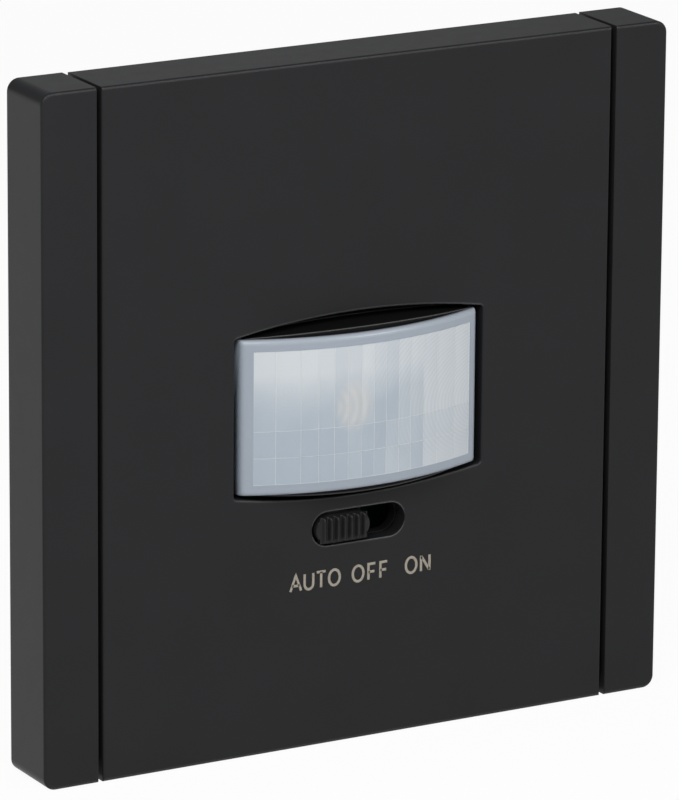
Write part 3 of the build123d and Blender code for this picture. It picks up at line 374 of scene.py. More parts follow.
def lens_flanges(lens, outer, inner, half_width, inner_half, half_height, back):
    """Flange down each side of the lens, from the bulge to its back."""
    levels = (-half_height, half_height)
    for side, end in ((-1, 0), (1, -1)):
        outer_foot = [lens.verts.new((side * half_width, back, z)) for z in levels]
        inner_foot = [lens.verts.new((side * inner_half, back, z)) for z in levels]
        lens.faces.new([row[end] for row in outer] + [outer_foot[1], outer_foot[0]])
        lens.faces.new((outer_foot[0], outer_foot[1], inner_foot[1], inner_foot[0]))
        lens.faces.new((inner[0][end], inner[1][end], inner_foot[1], inner_foot[0]))
        lens.faces.new((outer[0][end], outer_foot[0], inner_foot[0], inner[0][end]))
        lens.faces.new((outer[-1][end], outer_foot[1], inner_foot[1], inner[1][end]))


def build_lens(sizes, facet_finish, border_finish):
    """The lens as one closed sheet: bulge with facets, side flanges and rounded edges."""
    low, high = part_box("lens")
    half_width, half_height = high.x, high.z
    inner_half = half_width - sizes.flange
    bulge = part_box("front_plate")[0].y - low.y
    radius = (half_width**2 + bulge**2) / (2 * bulge)
    axis_y = low.y + radius
    columns = facet_columns(half_width - sizes.border)
    rows = facet_rows(half_height - sizes.border)
    across = lens_lines(half_width, sizes.border, sizes.edge_round, columns, sizes.ridge_width, sizes.step)
    upward = lens_lines(half_height, sizes.border, sizes.edge_round, rows, sizes.ridge_width, sizes.step)
    lens = bmesh.new()
    outer = lens_front(lens, across, upward, radius, axis_y, sizes)
    plain_from = len(lens.faces)
    inner = lens_back(lens, across, radius - sizes.sheet, axis_y, half_width, inner_half, half_height)
    grid_faces(lens, [outer[0], inner[0]])
    grid_faces(lens, [outer[-1], inner[-1]])
    lens_flanges(lens, outer, inner, half_width, inner_half, half_height, high.y)
    lens.faces.ensure_lookup_table()
    for face in lens.faces[plain_from:]:
        face.material_index = plain_index
    smooth(lens)
    piece = new_piece("lens_sheet", lens, "root", "lens_plastic", facet_finish, border_finish)
    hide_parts("lens")


def ribbon(mesh_edit, points, width, place):
    """Stroke of even width along points in a plane; place turns (u, v, height share) into a vector."""
    sharpest_share = 0.4
    closed = points[0] == points[-1]
    points = [Vector(p) for p in (points[:-1] if closed else points)]
    count = len(points)
    rails = []
    for k, point in enumerate(points):
        before = points[k - 1] if (k or closed) else None
        after = points[(k + 1) % count] if (k < count - 1 or closed) else None
        into = (point - before).normalized() if before is not None else (after - point).normalized()
        out = (after - point).normalized() if after is not None else into
        normal = Vector((-into.y - out.y, into.x + out.x)).normalized()
        reach = width / 2 / max(sharpest_share, normal.dot(Vector((-into.y, into.x))))
        left, right = point + normal * reach, point - normal * reach
        rails.append([
            mesh_edit.verts.new(place(*left, 0)),
            mesh_edit.verts.new(place(*left, 1)),
            mesh_edit.verts.new(place(*right, 1)),
            mesh_edit.verts.new(place(*right, 0)),
        ])
    loop = rails + [rails[0]] if closed else rails
    for low, high in zip(loop, loop[1:]):
        for k in range(4):
            mesh_edit.faces.new((low[k], low[(k + 1) % 4], high[(k + 1) % 4], high[k]))
    if not closed:
        mesh_edit.faces.new(rails[0])
        mesh_edit.faces.new(rails[-1])


def letter(mesh_edit, name, left, foot, height, stroke, place):
    """One letter, with its left edge and foot at the given places."""
    width = letter_width_shares[name] * height
    for strokes in letter_strokes[name]:
        points = [
            (left + stroke / 2 + u * (width - stroke), foot + stroke / 2 + v * (height - stroke))
            for u, v in strokes
        ]
        ribbon(mesh_edit, points, stroke, place)


def build_legend(word, sizes, material):
    """One word under the slide switch, spread evenly over its span."""
    left, right = legend_spans[word]
    widths = [letter_width_shares[name] * sizes.height for name in word]
    gap = (right - left - sum(widths)) / (len(word) - 1)
    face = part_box("front_plate")[0].y
    legend = bmesh.new()
    for name, width in zip(word, widths):
        letter(
            legend, name, left, -sizes.drop, sizes.height, sizes.stroke,
            lambda u, v, share: (u, face - share * sizes.proud, v),
        )
        left += width + gap
    new_piece(f"legend_{word.lower()}", legend, "front_plate", "white_plastic", material)


def build_mark(node, sizes, material):
    """Raised mark over one wire entry, read from behind."""
    low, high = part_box(node)
    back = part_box("insert_cover")[1].y
    middle = (low.x + high.x) / 2
    width = letter_width_shares[terminal_marks[node]] * sizes.mark_height
    mark = bmesh.new()
    letter(
        mark, terminal_marks[node], -middle - width / 2, high.z + sizes.mark_gap,
        sizes.mark_height, sizes.mark_stroke, lambda u, v, share: (-u, back + share * sizes.mark_proud, v),
    )
    new_piece(f"mark_{node}", mark, "root", "insert_plastic", material)


def lathe(mesh_edit, profile, sides, place):
    """Closed round form from a profile of (radius, along) points that starts and ends on the axis."""
    start = mesh_edit.verts.new(place(0, 0, profile[0][1]))
    end = mesh_edit.verts.new(place(0, 0, profile[-1][1]))
    turns = [k * tau / sides for k in range(sides)]
    loops = [
        [mesh_edit.verts.new(place(r * cos(turn), r * sin(turn), along)) for turn in turns]
        for r, along in profile[1:-1]
    ]
    grid_faces(mesh_edit, [loop + [loop[0]] for loop in loops])
    for k in range(sides):
        mesh_edit.faces.new((start, loops[0][k], loops[0][(k + 1) % sides]))
        mesh_edit.faces.new((end, loops[-1][k], loops[-1][(k + 1) % sides]))


def threaded_rod(mesh_edit, radius, depth, pitch, end, sides, place):
    """Rod whose surface rises and falls along a helix, with a tapered tip at its end."""
    steps_per_pitch = 6
    flank_steepness = 1.6
    steps = round(end / pitch * steps_per_pitch)
    loops = []
    for j in range(steps + 1):
        along = end * j / steps
        taper = min(1.0, (end - along) / pitch)
        loop = []
        for k in range(sides):
            turn = k * tau / sides
            wound = (along / pitch - k / sides) % 1.0
            crest = 1 - abs(2 * wound - 1)
            r = radius - depth + depth * min(1.0, flank_steepness * crest) * taper
            loop.append(mesh_edit.verts.new(place(r * cos(turn), r * sin(turn), along)))
        loops.append(loop)
    grid_faces(mesh_edit, [loop + [loop[0]] for loop in loops])
    mesh_edit.faces.new(loops[0])
    mesh_edit.faces.new(loops[-1])


def block(mesh_edit, size, middle):
    """Rectangular block, as a cutter."""
    bmesh.ops.create_cube(mesh_edit, size=1.0, matrix=Matrix.LocRotScale(middle, None, size))


def carve(mesh_edit, cutters):
    """The bmesh with each cutter's form taken out, as a new bmesh."""
    objects = []
    named = [("carved", mesh_edit)]
    named += [(f"cutter_{k}", cutter) for k, cutter in enumerate(cutters)]
    for name, edit in named:
        bmesh.ops.recalc_face_normals(edit, faces=edit.faces)
        mesh = bpy.data.meshes.new(name)
        edit.to_mesh(mesh)
        edit.free()
        objects.append(bpy.data.objects.new(name, mesh))
        bpy.context.collection.objects.link(objects[-1])
    for cutter in objects[1:]:
        cut = objects[0].modifiers.new(cutter.name, "BOOLEAN")
        cut.operation = "DIFFERENCE"
        cut.object = cutter
    shape = objects[0].evaluated_get(bpy.context.evaluated_depsgraph_get()).to_mesh()
    result = bmesh.new()
    result.from_mesh(shape)
    for used in objects:
        bpy.data.objects.remove(used)
    return result


def head_profile(radius, height, steps=5):
    """Pan head from its seat to its domed top, as (radius, along) points."""
    round_share = 0.35
    flat_radius = radius * (1 - round_share)
    shoulder = height * (1 - round_share)
    points = [(0, 0), (radius, 0)]
    for k in range(steps + 1):
        turn = k * pi / (2 * steps)
        out = radius * round_share * cos(turn)
        up = height * round_share * sin(turn)
        points.append((flat_radius + out, shoulder + up))
    return points + [(0, height)]


def foot_outline(straight, radius, steps=16):
    """Outline of a slot with round ends, as (x, z) points round its middle."""
    turns = [k * pi / steps - pi / 2 for k in range(steps + 1)]
    right = [(straight + radius * cos(turn), radius * sin(turn)) for turn in turns]
    return right + [(-x, -z) for x, z in right]


def rib_height(x, sizes):
    """Height of the ribbed block's face at a place along it."""
    half = sizes.block_length / 2
    into_end = max(0.0, abs(x) - half + sizes.block_round) / sizes.block_round
    groove = 0.5 + 0.5 * cos(tau * (x + half) / sizes.block_length * sizes.ribs)
    return (sizes.block_height - sizes.rib_depth * groove) * sqrt(max(0.0, 1 - into_end**2))


def knob_neck(sizes, middle, front, back):
    """Neck of the knob as a bmesh, with the socket for the switch's stem in its back."""
    depth = back - front
    neck_middle = Vector((middle.x, (front + back) / 2, middle.z))
    neck = bmesh.new()
    block(neck, (sizes.neck_length, depth, sizes.neck_height), neck_middle)
    socket = bmesh.new()
    socket_middle = neck_middle + Vector((0, sizes.socket_back, 0))
    block(socket, (sizes.socket, depth, sizes.socket), socket_middle)
    return carve(neck, [socket])


def knob_foot(knob, sizes, middle, straight, radius, front, back):
    """Foot of the knob in the plate's slot, with a round along its front edge."""
    lines = [(0.0, back)]
    lines += [
        (sizes.foot_round * (1 - cos(turn)), front + sizes.foot_round * (1 - sin(turn)))
        for turn in quarter_turns
    ]
    loops = [
        [
            knob.verts.new((middle.x + x, y, middle.z + z))
            for x, z in foot_outline(straight, radius - inset)
        ]
        for inset, y in lines
    ]
    grid_faces(knob, [loop + [loop[0]] for loop in loops])
    knob.faces.new(loops[0])
    knob.faces.new(loops[-1])


def knob_ribs(knob, sizes, middle, half_height, front):
    """Ribbed block on the foot, which starts a little inside it."""
    sink = sizes.foot_round / 3
    half_length = sizes.block_length / 2
    count = round(sizes.block_length / sizes.step)
    across = [-half_length + sizes.block_length * k / count for k in range(count + 1)]
    ends = [
        (half_height - sizes.block_round * (1 - cos(turn)), sin(turn)) for turn in reversed(quarter_turns)
    ]
    upward = sorted([(-z, share) for z, share in ends] + ends)
    rows = []
    for z, share in upward:
        row = [knob.verts.new((middle.x - half_length, front + sink, middle.z + z))]
        for x in across:
            y = front - rib_height(x, sizes) * share
            row.append(knob.verts.new((middle.x + x, y, middle.z + z)))
        row.append(knob.verts.new((middle.x + half_length, front + sink, middle.z + z)))
        rows.append(row)
    grid_faces(knob, rows)
    grid_faces(knob, [[row[0], row[-1]] for row in rows])
    knob.faces.new(rows[0])
    knob.faces.new(rows[-1])


def build_knob(sizes, material):
    """Knob of the slide switch: a rounded foot in the slot, a ribbed block on it and the neck behind."""
    low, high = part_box("slide_knob")
    middle = (low + high) / 2
    radius = (high.z - low.z) / 2
    straight = (high.x - low.x) / 2 - radius
    foot_front = low.y + sizes.block_height
    foot_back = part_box("front_plate")[0].y + sizes.plate
    knob = knob_neck(sizes, middle, foot_back, high.y)
    knob_foot(knob, sizes, middle, straight, radius, foot_front, foot_back)
    knob_ribs(knob, sizes, middle, radius - sizes.foot_round / 2, foot_front)
    smooth(knob)
    piece = new_piece("knob_ribbed", knob, "slider", "black_plastic", material)
    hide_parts("slide_knob")


def build_claw_screw(hand, sizes, material):
    """Claw screw: slotted pan head in front of the ring, and a thread that runs through the nut."""
    node = f"claw_screw_{hand}"
    low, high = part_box(node)
    axis_x = (low.x + high.x) / 2
    ring_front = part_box("support_ring")[0].y
    front = low.y

    def place(u, v, along):
        return axis_x + u, ring_front - along, v

    head = bmesh.new()
    lathe(head, head_profile(sizes.claw_head, ring_front - front), sizes.sides, place)
    slot = bmesh.new()
    block(slot, (3 * sizes.claw_head, 2 * sizes.slot_depth, sizes.slot_width), Vector((axis_x, front, 0)))
    screw = carve(head, [slot])
    threaded_rod(
        screw, sizes.claw_shank, sizes.claw_thread, sizes.claw_pitch, high.y - ring_front,
        sizes.sides, lambda u, v, along: (axis_x + u, ring_front + along, v),
    )
    smooth(screw)
    piece = new_piece(f"{node}_threaded", screw, node, "zinc_steel", material)
    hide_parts(node)


def build_cover_screws(sizes, material):
    """The two screws of the rear cover: pan heads with a cross, on the cover's back."""
    low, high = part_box("cover_screws")
    cover_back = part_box("insert_cover")[1].y
    for side, hand in ((-1, "left"), (1, "right")):
        axis_x = side * (high.x - sizes.cover_head)
        axis_z = (low.z + high.z) / 2
        head = bmesh.new()
        lathe(
            head, head_profile(sizes.cover_head, high.y - cover_back), sizes.sides,
            lambda u, v, along: (axis_x + u, cover_back + along, axis_z + v),
        )
        middle = Vector((axis_x, high.y, axis_z))
        cross = []
        for size in ((sizes.cross_length, sizes.cross_width), (sizes.cross_width, sizes.cross_length)):
            arm = bmesh.new()
            block(arm, (size[0], 2 * sizes.slot_depth, size[1]), middle)
            cross.append(arm)
        screw = carve(head, cross)
        threaded_rod(
            screw, sizes.cover_shank, sizes.claw_thread / 2, sizes.claw_pitch, cover_back - low.y,
            sizes.sides, lambda u, v, along: (axis_x + u, cover_back - along, axis_z + v),
        )
        smooth(screw)
        piece = new_piece(f"cover_screw_{hand}", screw, "root", "zinc_steel", material)
        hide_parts("cover_screws")


def node_at(tree, kind, **inputs):
    """New shader node with its inputs set by name."""
    node = tree.nodes.new(kind)
    for name, value in inputs.items():
        node.inputs[name.replace("_", " ")].default_value = value
    return node


def object_place(tree):
    """Place in the object's own coordinates."""
    return tree.nodes.new("ShaderNodeTexCoord").outputs["Object"]


def axes_of(tree, vector):
    """X, Y and Z of a vector, as sockets by name."""
    split = tree.nodes.new("ShaderNodeSeparateXYZ")
    tree.links.new(vector, split.inputs["Vector"])
    return split.outputs


def moved(tree, place, middle, size):
    """A place as seen from a middle, in units of a size along each axis."""
    mapping = node_at(tree, "ShaderNodeMapping", Location=middle, Scale=size)
    mapping.vector_type = "TEXTURE"
    tree.links.new(place, mapping.inputs["Vector"])
    return mapping.outputs["Vector"]


def noise(tree, size, detail=3.0):
    """Noise in the object's own coordinates, with features of about one size."""
    pattern = node_at(tree, "ShaderNodeTexNoise", Scale=1 / size, Detail=detail)
    tree.links.new(object_place(tree), pattern.inputs["Vector"])
    return pattern.outputs["Fac"]


def blend_colours(tree, factor, low, high):
    """Colour that runs from low to high with a factor between 0.3 and 0.7, where most noise lies."""
    ramp = tree.nodes.new("ShaderNodeValToRGB")
    for stop, position, shade in zip(ramp.color_ramp.elements, (0.3, 0.7), (low, high)):
        stop.position = position
        stop.color = (*shade, 1)
    tree.links.new(factor, ramp.inputs["Fac"])
    return ramp.outputs["Color"]


def shades(base, spread):
    """A darker and a lighter shade of a colour."""
    return [tuple(min(1.0, c * (1 + sign * spread)) for c in base) for sign in (-1, 1)]


def combined(tree, operation, first, second):
    """Sum, product or other operation on two values, each a socket or a number."""
    node = tree.nodes.new("ShaderNodeMath")
    node.operation = operation
    node.use_clamp = True
    for socket, value in zip(node.inputs, (first, second)):
        if isinstance(value, bpy.types.NodeSocket):
            tree.links.new(value, socket)
        else:
            socket.default_value = value
    return node.outputs[0]


def scaled(tree, value, share):
    """Product of a value and a share, from 0 to 1."""
    return combined(tree, "MULTIPLY", value, share)


def rise(tree, value, start, end):
    """Smooth step from 0 at start to 1 at end."""
    node = node_at(tree, "ShaderNodeMapRange", From_Min=start, From_Max=end)
    node.interpolation_type = "SMOOTHSTEP"
    tree.links.new(value, node.inputs["Value"])
    return node.outputs["Result"]


def mix_colours(tree, factor, first, second):
    """Mix of two colours, each a socket or a plain colour."""
    node = tree.nodes.new("ShaderNodeMix")
    node.data_type = "RGBA"
    tree.links.new(factor, node.inputs["Factor"])
    for name, value in (("A", first), ("B", second)):
        socket = next(s for s in node.inputs if s.name == name and s.type == "RGBA")
        if isinstance(value, bpy.types.NodeSocket):
            tree.links.new(value, socket)
        else:
            socket.default_value = (*value, 1)
    return next(s for s in node.outputs if s.type == "RGBA")


def softened_normal(tree, radius):
    """Normal with the edges rounded off within a radius."""
    bevel = node_at(tree, "ShaderNodeBevel", Radius=radius)
    bevel.samples = 6
    return bevel.outputs["Normal"]


def edge_share(tree, reach):
    """How near a level edge a place on a front is, from 0 to 1: where the painted edge highlight goes."""
    soft = axes_of(tree, softened_normal(tree, reach))
    plain = axes_of(tree, tree.nodes.new("ShaderNodeNewGeometry").outputs["Normal"])
    leans_up = combined(tree, "SUBTRACT", soft["Z"], plain["Z"])
    leans_down = combined(tree, "SUBTRACT", plain["Z"], soft["Z"])
    near_edge = rise(tree, combined(tree, "MAXIMUM", leans_up, leans_down), start=0.10, end=0.28)
    on_front = rise(tree, combined(tree, "MULTIPLY", plain["Y"], -1.0), start=0.6, end=0.9)
    return combined(tree, "MULTIPLY", near_edge, on_front)


def rings(tree, place, centre, stretch, pitch, waver):
    """Rings round a centre (x, z) on the front, wider than high by the stretch, from 0 to 1."""
    pitch_at_scale_one = tau / 20
    wave = node_at(
        tree, "ShaderNodeTexWave", Scale=pitch_at_scale_one / pitch, Distortion=waver, Detail=1.0,
        Detail_Scale=0.3,
    )
    wave.wave_type = "RINGS"
    wave.rings_direction = "Y"
    centred = moved(tree, place, (centre[0], 0.0, centre[1]), (stretch, 1.0, 1.0))
    tree.links.new(centred, wave.inputs["Vector"])
    return wave.outputs["Fac"]


def finish(name, base, spread=0.08, cloud=0.004, roughness=(0.4, 0.5), grain=0.00012, depth=0.000002,
           edge=0.00012, painted_highlight=None, reach=0.0003, **constants):
    """Material whose colour and roughness vary a little, with a fine grain and softened edges.

    The colour varies by the share spread over the length cloud. The grain's bumps have the size grain
    and the height depth. Edges are softened within the length edge. With a painted_highlight colour,
    level front edges within reach take it on as a painted highlight. The constants go to the shader's own
    sockets.
    """
    material = bpy.data.materials.new(name)
    material.use_nodes = True
    tree = material.node_tree
    shader = tree.nodes["Principled BSDF"]
    surface = blend_colours(tree, noise(tree, cloud), *shades(base, spread))
    # Painted highlight: level front edges are lightened toward this colour
    if painted_highlight:
        surface = mix_colours(tree, edge_share(tree, reach), surface, painted_highlight)
    tree.links.new(surface, shader.inputs["Base Color"])
    gloss_cloud = cloud / 5
    gloss = node_at(tree, "ShaderNodeMapRange", To_Min=roughness[0], To_Max=roughness[1])
    tree.links.new(noise(tree, gloss_cloud), gloss.inputs["Value"])
    tree.links.new(gloss.outputs["Result"], shader.inputs["Roughness"])
    bump = node_at(tree, "ShaderNodeBump", Strength=1.0, Distance=depth)
    tree.links.new(noise(tree, grain), bump.inputs["Height"])
    tree.links.new(softened_normal(tree, edge), bump.inputs["Normal"])
    tree.links.new(bump.outputs["Normal"], shader.inputs["Normal"])
    for socket, value in constants.items():
        shader.inputs[socket.replace("_", " ")].default_value = value
    return material


def black_plastic(colours):
    """Satin black plastic of the cover frame and the front plate, with a painted highlight on level front
    edges.
    """
    return finish(
        "satin_black_plastic", colours.black, spread=0.05, cloud=0.01, roughness=(0.34, 0.40),
        # Painted highlight along the level front edges
        grain=0.00015, depth=0.0000015, edge=0.0002, painted_highlight=colours.edge, reach=0.0004,
        Specular_IOR_Level=0.15,
    )


def knob_plastic(colours):
    """Satin black plastic of the knob."""
    return finish(
        "knob_black_plastic", colours.knob, spread=0.06, cloud=0.004, roughness=(0.30, 0.36),
        grain=0.0001, depth=0.000001, edge=0.00006, Specular_IOR_Level=0.2,
    )


def hood_plastic(colours):
    """Matt black of the hood behind the lens, darkened as painted shade so it stays dark in its window."""
    return finish(
        "hood_black_plastic", colours.hood, spread=0.05, cloud=0.01, roughness=(0.60, 0.66),
        # Painted highlight along the hood's level front edges, its lip line
        grain=0.00015, depth=0.0000015, edge=0.0003, painted_highlight=colours.edge, reach=0.0003,
        Specular_IOR_Level=0.12,
    )


def head_plastic(colours):
    """Matt black plastic of the sensor head."""
    return finish(
        "matt_black_plastic", colours.head, spread=0.08, cloud=0.006, roughness=(0.6, 0.7),
        grain=0.0002, depth=0.000004, Specular_IOR_Level=0.2,
    )


def milky_plastic(name, base, see_through):
    """Milky plastic that lets a little light through."""
    return finish(
        name, base, spread=0.02, cloud=0.006, roughness=(0.26, 0.33), grain=0.0003, depth=0.0000005,
        edge=0.00006, Transmission_Weight=see_through, IOR=1.5,
    )


def milky_border(colours):
    """Plain border of the lens, with a painted highlight along its rounded top edge."""
    material = milky_plastic("milky_border", colours.milk_border, see_through=0.05)
    tree = material.node_tree
    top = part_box("lens")[1].z
    height = axes_of(tree, object_place(tree))["Z"]
    # Painted highlight along the rounded top edge
    painted_top_highlight = scaled(tree, rise(tree, height, start=top - 0.0007, end=top - 0.0004), share=0.14)
    surface = mix_colours(tree, painted_top_highlight, colours.milk_border, colours.milk)
    tree.links.new(surface, tree.nodes["Principled BSDF"].inputs["Base Color"])
    return material


def painted_facet_light(tree, axes):
    """Painted light of the facets: high at the top and in the right columns, uneven from facet to facet.
    """
    tone = tree.nodes.new("ShaderNodeAttribute")
    tone.attribute_name = "facet_tone"
    toward_top = rise(tree, axes["Z"], start=-0.0015, end=0.0080)
    toward_right = scaled(tree, rise(tree, axes["X"], start=-0.0050, end=0.0068), share=0.35)
    right_columns = scaled(tree, rise(tree, axes["X"], start=0.0069, end=0.0074), share=0.50)
    light = combined(tree, "MAXIMUM", toward_top, combined(tree, "ADD", toward_right, right_columns))
    clouds = scaled(tree, noise(tree, size=0.005, detail=1.0), share=0.36)
    uneven = scaled(tree, tone.outputs["Fac"], share=0.36)
    light = combined(tree, "SUBTRACT", combined(tree, "ADD", light, clouds), uneven)
    # Painted highlight on the lines between the facets, broken by noise
    lowest_facet_tone = 0.01
    on_line = combined(tree, "LESS_THAN", tone.outputs["Fac"], lowest_facet_tone)
    painted_ridge_highlight = combined(tree, "MULTIPLY", on_line, scaled(tree, noise(tree, size=0.0012), share=0.9))
    return combined(tree, "ADD", light, painted_ridge_highlight)


def painted_sensor_glow(tree, place):
    """Share of the painted glow of the sensor's can through the lens: a warm round place broken by a few
    arcs.
    """
    middle = (-0.0027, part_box("lens")[0].y, 0.0008)
    half_size = (0.0031, 0.02, 0.0038)
    spot = tree.nodes.new("ShaderNodeTexGradient")
    spot.gradient_type = "SPHERICAL"
    tree.links.new(moved(tree, place, middle, half_size), spot.inputs["Vector"])
    near_middle = rise(tree, spot.outputs["Fac"], start=0.0, end=0.6)
    swirl = rings(tree, place, centre=(-0.0062, 0.0008), stretch=1.0, pitch=0.0011, waver=2.0)
    between_arcs = 0.45
    ripple = combined(tree, "ADD", scaled(tree, swirl, share=0.3), between_arcs)
    return combined(tree, "MULTIPLY", near_middle, ripple)


def fine_arcs(tree, place, axes):
    """Share of the fine arcs in the right half of the lens, fading out above its foot."""
    arcs = rings(tree, place, centre=(0.0170, -0.0012), stretch=1.35, pitch=0.00042, waver=3.0)
    right_half = rise(tree, axes["X"], start=-0.0030, end=0.0035)
    above_foot = rise(tree, axes["Z"], start=-0.0085, end=-0.0050)
    arcs = combined(tree, "MULTIPLY", arcs, combined(tree, "MULTIPLY", right_half, above_foot))
    return scaled(tree, arcs, share=0.26)


def milky_facets(colours):
    """Facets of the lens: painted shade where the dark tube lies behind, a painted warm glow before the
    sensor's can.
    """
    material = milky_plastic("milky_facets", colours.milk, see_through=0.06)
    tree = material.node_tree
    place = object_place(tree)
    axes = axes_of(tree, place)
    field = mix_colours(tree, painted_facet_light(tree, axes), colours.milk_shade, colours.milk)
    warm = mix_colours(tree, painted_sensor_glow(tree, place), field, colours.milk_warm)
    lined = mix_colours(tree, fine_arcs(tree, place, axes), warm, colours.milk_shade)
    tree.links.new(lined, tree.nodes["Principled BSDF"].inputs["Base Color"])
    return material


def insert_plastic(colours):
    """Grey plastic of the insert behind the ring."""
    return finish(
        "insert_plastic", colours.insert, spread=0.05, cloud=0.008, roughness=(0.42, 0.55),
        grain=0.0003, depth=0.000005, edge=0.0002,
    )


def terminal_plastic(colours):
    """Dark grey plastic of the terminal block."""
    return finish(
        "terminal_plastic", colours.terminal, spread=0.06, cloud=0.004, roughness=(0.45, 0.55),
        grain=0.0002, depth=0.000003,
    )


def zinc_steel(colours):
    """Zinc-plated steel: a mottled sheen with fine marks."""
    return finish(
        "zinc_steel", colours.zinc, spread=0.10, cloud=0.0025, roughness=(0.26, 0.42), grain=0.00008,
        depth=0.000002, edge=0.00015, Metallic=1.0,
    )


def brass(colours):
    """Brass of the terminal cages."""
    return finish(
        "brass", colours.brass, spread=0.08, cloud=0.002, roughness=(0.25, 0.4), grain=0.0001,
        depth=0.000002, edge=0.0001, Metallic=1.0,
    )


def copper(colours):
    """Enamelled copper wire."""
    return finish(
        "copper_wire", colours.copper, spread=0.15, cloud=0.0006, roughness=(0.25, 0.35), grain=0.0001,
        depth=0.000002, Metallic=1.0,
    )


def circuit_board(colours):
    """Green solder mask over copper."""
    return finish(
        "circuit_board", colours.board, spread=0.18, cloud=0.002, roughness=(0.28, 0.4), grain=0.0003,
        depth=0.000004,
    )


def can_metal(colours):
    """Nickel-plated can of the sensor."""
    return finish(
        "can_metal", (0.75, 0.74, 0.70), spread=0.04, cloud=0.002, roughness=(0.2, 0.3), grain=0.0001,
        depth=0.000001, Metallic=1.0,
    )


def dark_filter(colours):
    """Dark silicon window of the sensor."""
    return finish(
        "dark_filter", (0.04, 0.035, 0.04), spread=0.1, cloud=0.001, roughness=(0.08, 0.15),
        grain=0.0002, depth=0.0000005,
    )


def tinned_wire(colours):
    """Tinned leads and pins."""
    return finish(
        "tinned_wire", (0.72, 0.72, 0.70), spread=0.06, cloud=0.001, roughness=(0.25, 0.35),
        grain=0.0001, depth=0.000001, Metallic=1.0,
    )


def clear_resin(colours):
    """Clear resin of the light cell."""
    return finish(
        "clear_resin", (0.85, 0.87, 0.90), spread=0.03, cloud=0.001, roughness=(0.05, 0.12),
        grain=0.0002, depth=0.0000005, Transmission_Weight=0.8, IOR=1.5,
    )


def white_plastic(colours):
    """White plastic of the dials and the switch's slider."""
    return finish(
        "white_plastic", colours.white, spread=0.04, cloud=0.003, roughness=(0.4, 0.5), grain=0.0002,
        depth=0.000002,
    )


def component_black(colours):
    """Black moulding of the chip, plug and relay."""
    return finish(
        "component_black", (0.03, 0.03, 0.035), spread=0.1, cloud=0.002, roughness=(0.5, 0.65),
        grain=0.00015, depth=0.000004,
    )


def capacitor_sleeve(colours):
    """Shrink sleeve of the electrolytic capacitor."""
    return finish(
        "capacitor_sleeve", (0.03, 0.04, 0.09), spread=0.08, cloud=0.003, roughness=(0.25, 0.35),
        grain=0.0003, depth=0.000002,
    )


def film_box(colours):
    """Ochre box of the film capacitor."""
    return finish(
        "film_box", (0.62, 0.45, 0.10), spread=0.06, cloud=0.002, roughness=(0.4, 0.5), grain=0.0002,
        depth=0.000002,
    )


def varistor_blue(colours):
    """Blue lacquer of the varistor."""
    return finish(
        "varistor_blue", (0.05, 0.13, 0.35), spread=0.1, cloud=0.002, roughness=(0.25, 0.4),
        grain=0.0004, depth=0.000006,
    )


def fuse_box(colours):
    """Brown moulding of the fuse."""
    return finish(
        "fuse_box", (0.22, 0.10, 0.06), spread=0.08, cloud=0.002, roughness=(0.4, 0.5), grain=0.0002,
        depth=0.000002,
    )


def legend_ink(colours):
    """Pale ink of the lettering on the front plate."""
    return finish(
        "legend_ink", colours.legend, spread=0.12, cloud=0.0004, roughness=(0.5, 0.6), grain=0.0001,
        depth=0.000002,
    )


def mark_plastic(colours):
    """Dark plastic of the marks at the wire entries."""
    return finish(
        "mark_plastic", colours.mark, spread=0.08, cloud=0.001, roughness=(0.5, 0.6), grain=0.0002,
        depth=0.000003,
    )


def pale_floor(white_share):
    """Pale floor that keeps shadows; a share of what the camera and mirrors see of it is plain white."""
    material = finish(
        "pale_floor", (0.82, 0.82, 0.82), spread=0.015, cloud=0.05, roughness=(0.8, 0.9), grain=0.002,
        depth=0.00001, edge=0.001,
    )
    tree = material.node_tree
    rays = tree.nodes.new("ShaderNodeLightPath").outputs
    mirrored = combined(tree, "ADD", rays["Is Glossy Ray"], rays["Is Transmission Ray"])
    seen = combined(tree, "ADD", rays["Is Camera Ray"], mirrored)
    white = node_at(tree, "ShaderNodeEmission", Color=(1, 1, 1, 1), Strength=1.0)
    mixed = tree.nodes.new("ShaderNodeMixShader")
    tree.links.new(scaled(tree, seen, white_share), mixed.inputs["Fac"])
    tree.links.new(tree.nodes["Principled BSDF"].outputs["BSDF"], mixed.inputs[1])
    tree.links.new(white.outputs["Emission"], mixed.inputs[2])
    tree.links.new(mixed.outputs["Shader"], tree.nodes["Material Output"].inputs["Surface"])
    return material


# Finish of each material slot, apart from the lens's
slot_finishes = {
    "black_plastic": black_plastic,
    "head_plastic": head_plastic,
    "insert_plastic": insert_plastic,
    "terminal_plastic": terminal_plastic,
    "zinc_steel": zinc_steel,
    "brass": brass,
    "copper": copper,
    "board": circuit_board,
    "lead_wire": tinned_wire,
    "can_metal": can_metal,
    "dark_filter": dark_filter,
    "clear_resin": clear_resin,
    "white_plastic": white_plastic,
    "component_black": component_black,
    "capacitor_sleeve": capacitor_sleeve,
    "film_box": film_box,
    "varistor_blue": varistor_blue,
    "fuse_box": fuse_box,
}


def dress_solid(node, material):
    """Give one solid of the model its finish."""
    mesh = frame["nodes"][node].data
    mesh.materials.clear()
    mesh.materials.append(material)


def lay_floor(white_share):
    """Wide floor just under the part."""
    half_width = 12.0
    clearance = 0.00005
    surface = bmesh.new()
    bmesh.ops.create_grid(surface, x_segments=8, y_segments=8, size=half_width)
    mesh = bpy.data.meshes.new("floor")
    surface.to_mesh(mesh)
    surface.free()
    floor = bpy.data.objects.new("floor", mesh)
    bpy.context.collection.objects.link(floor)
    floor.location.z = cad_box[0].z - clearance
    mesh.materials.append(pale_floor(white_share))


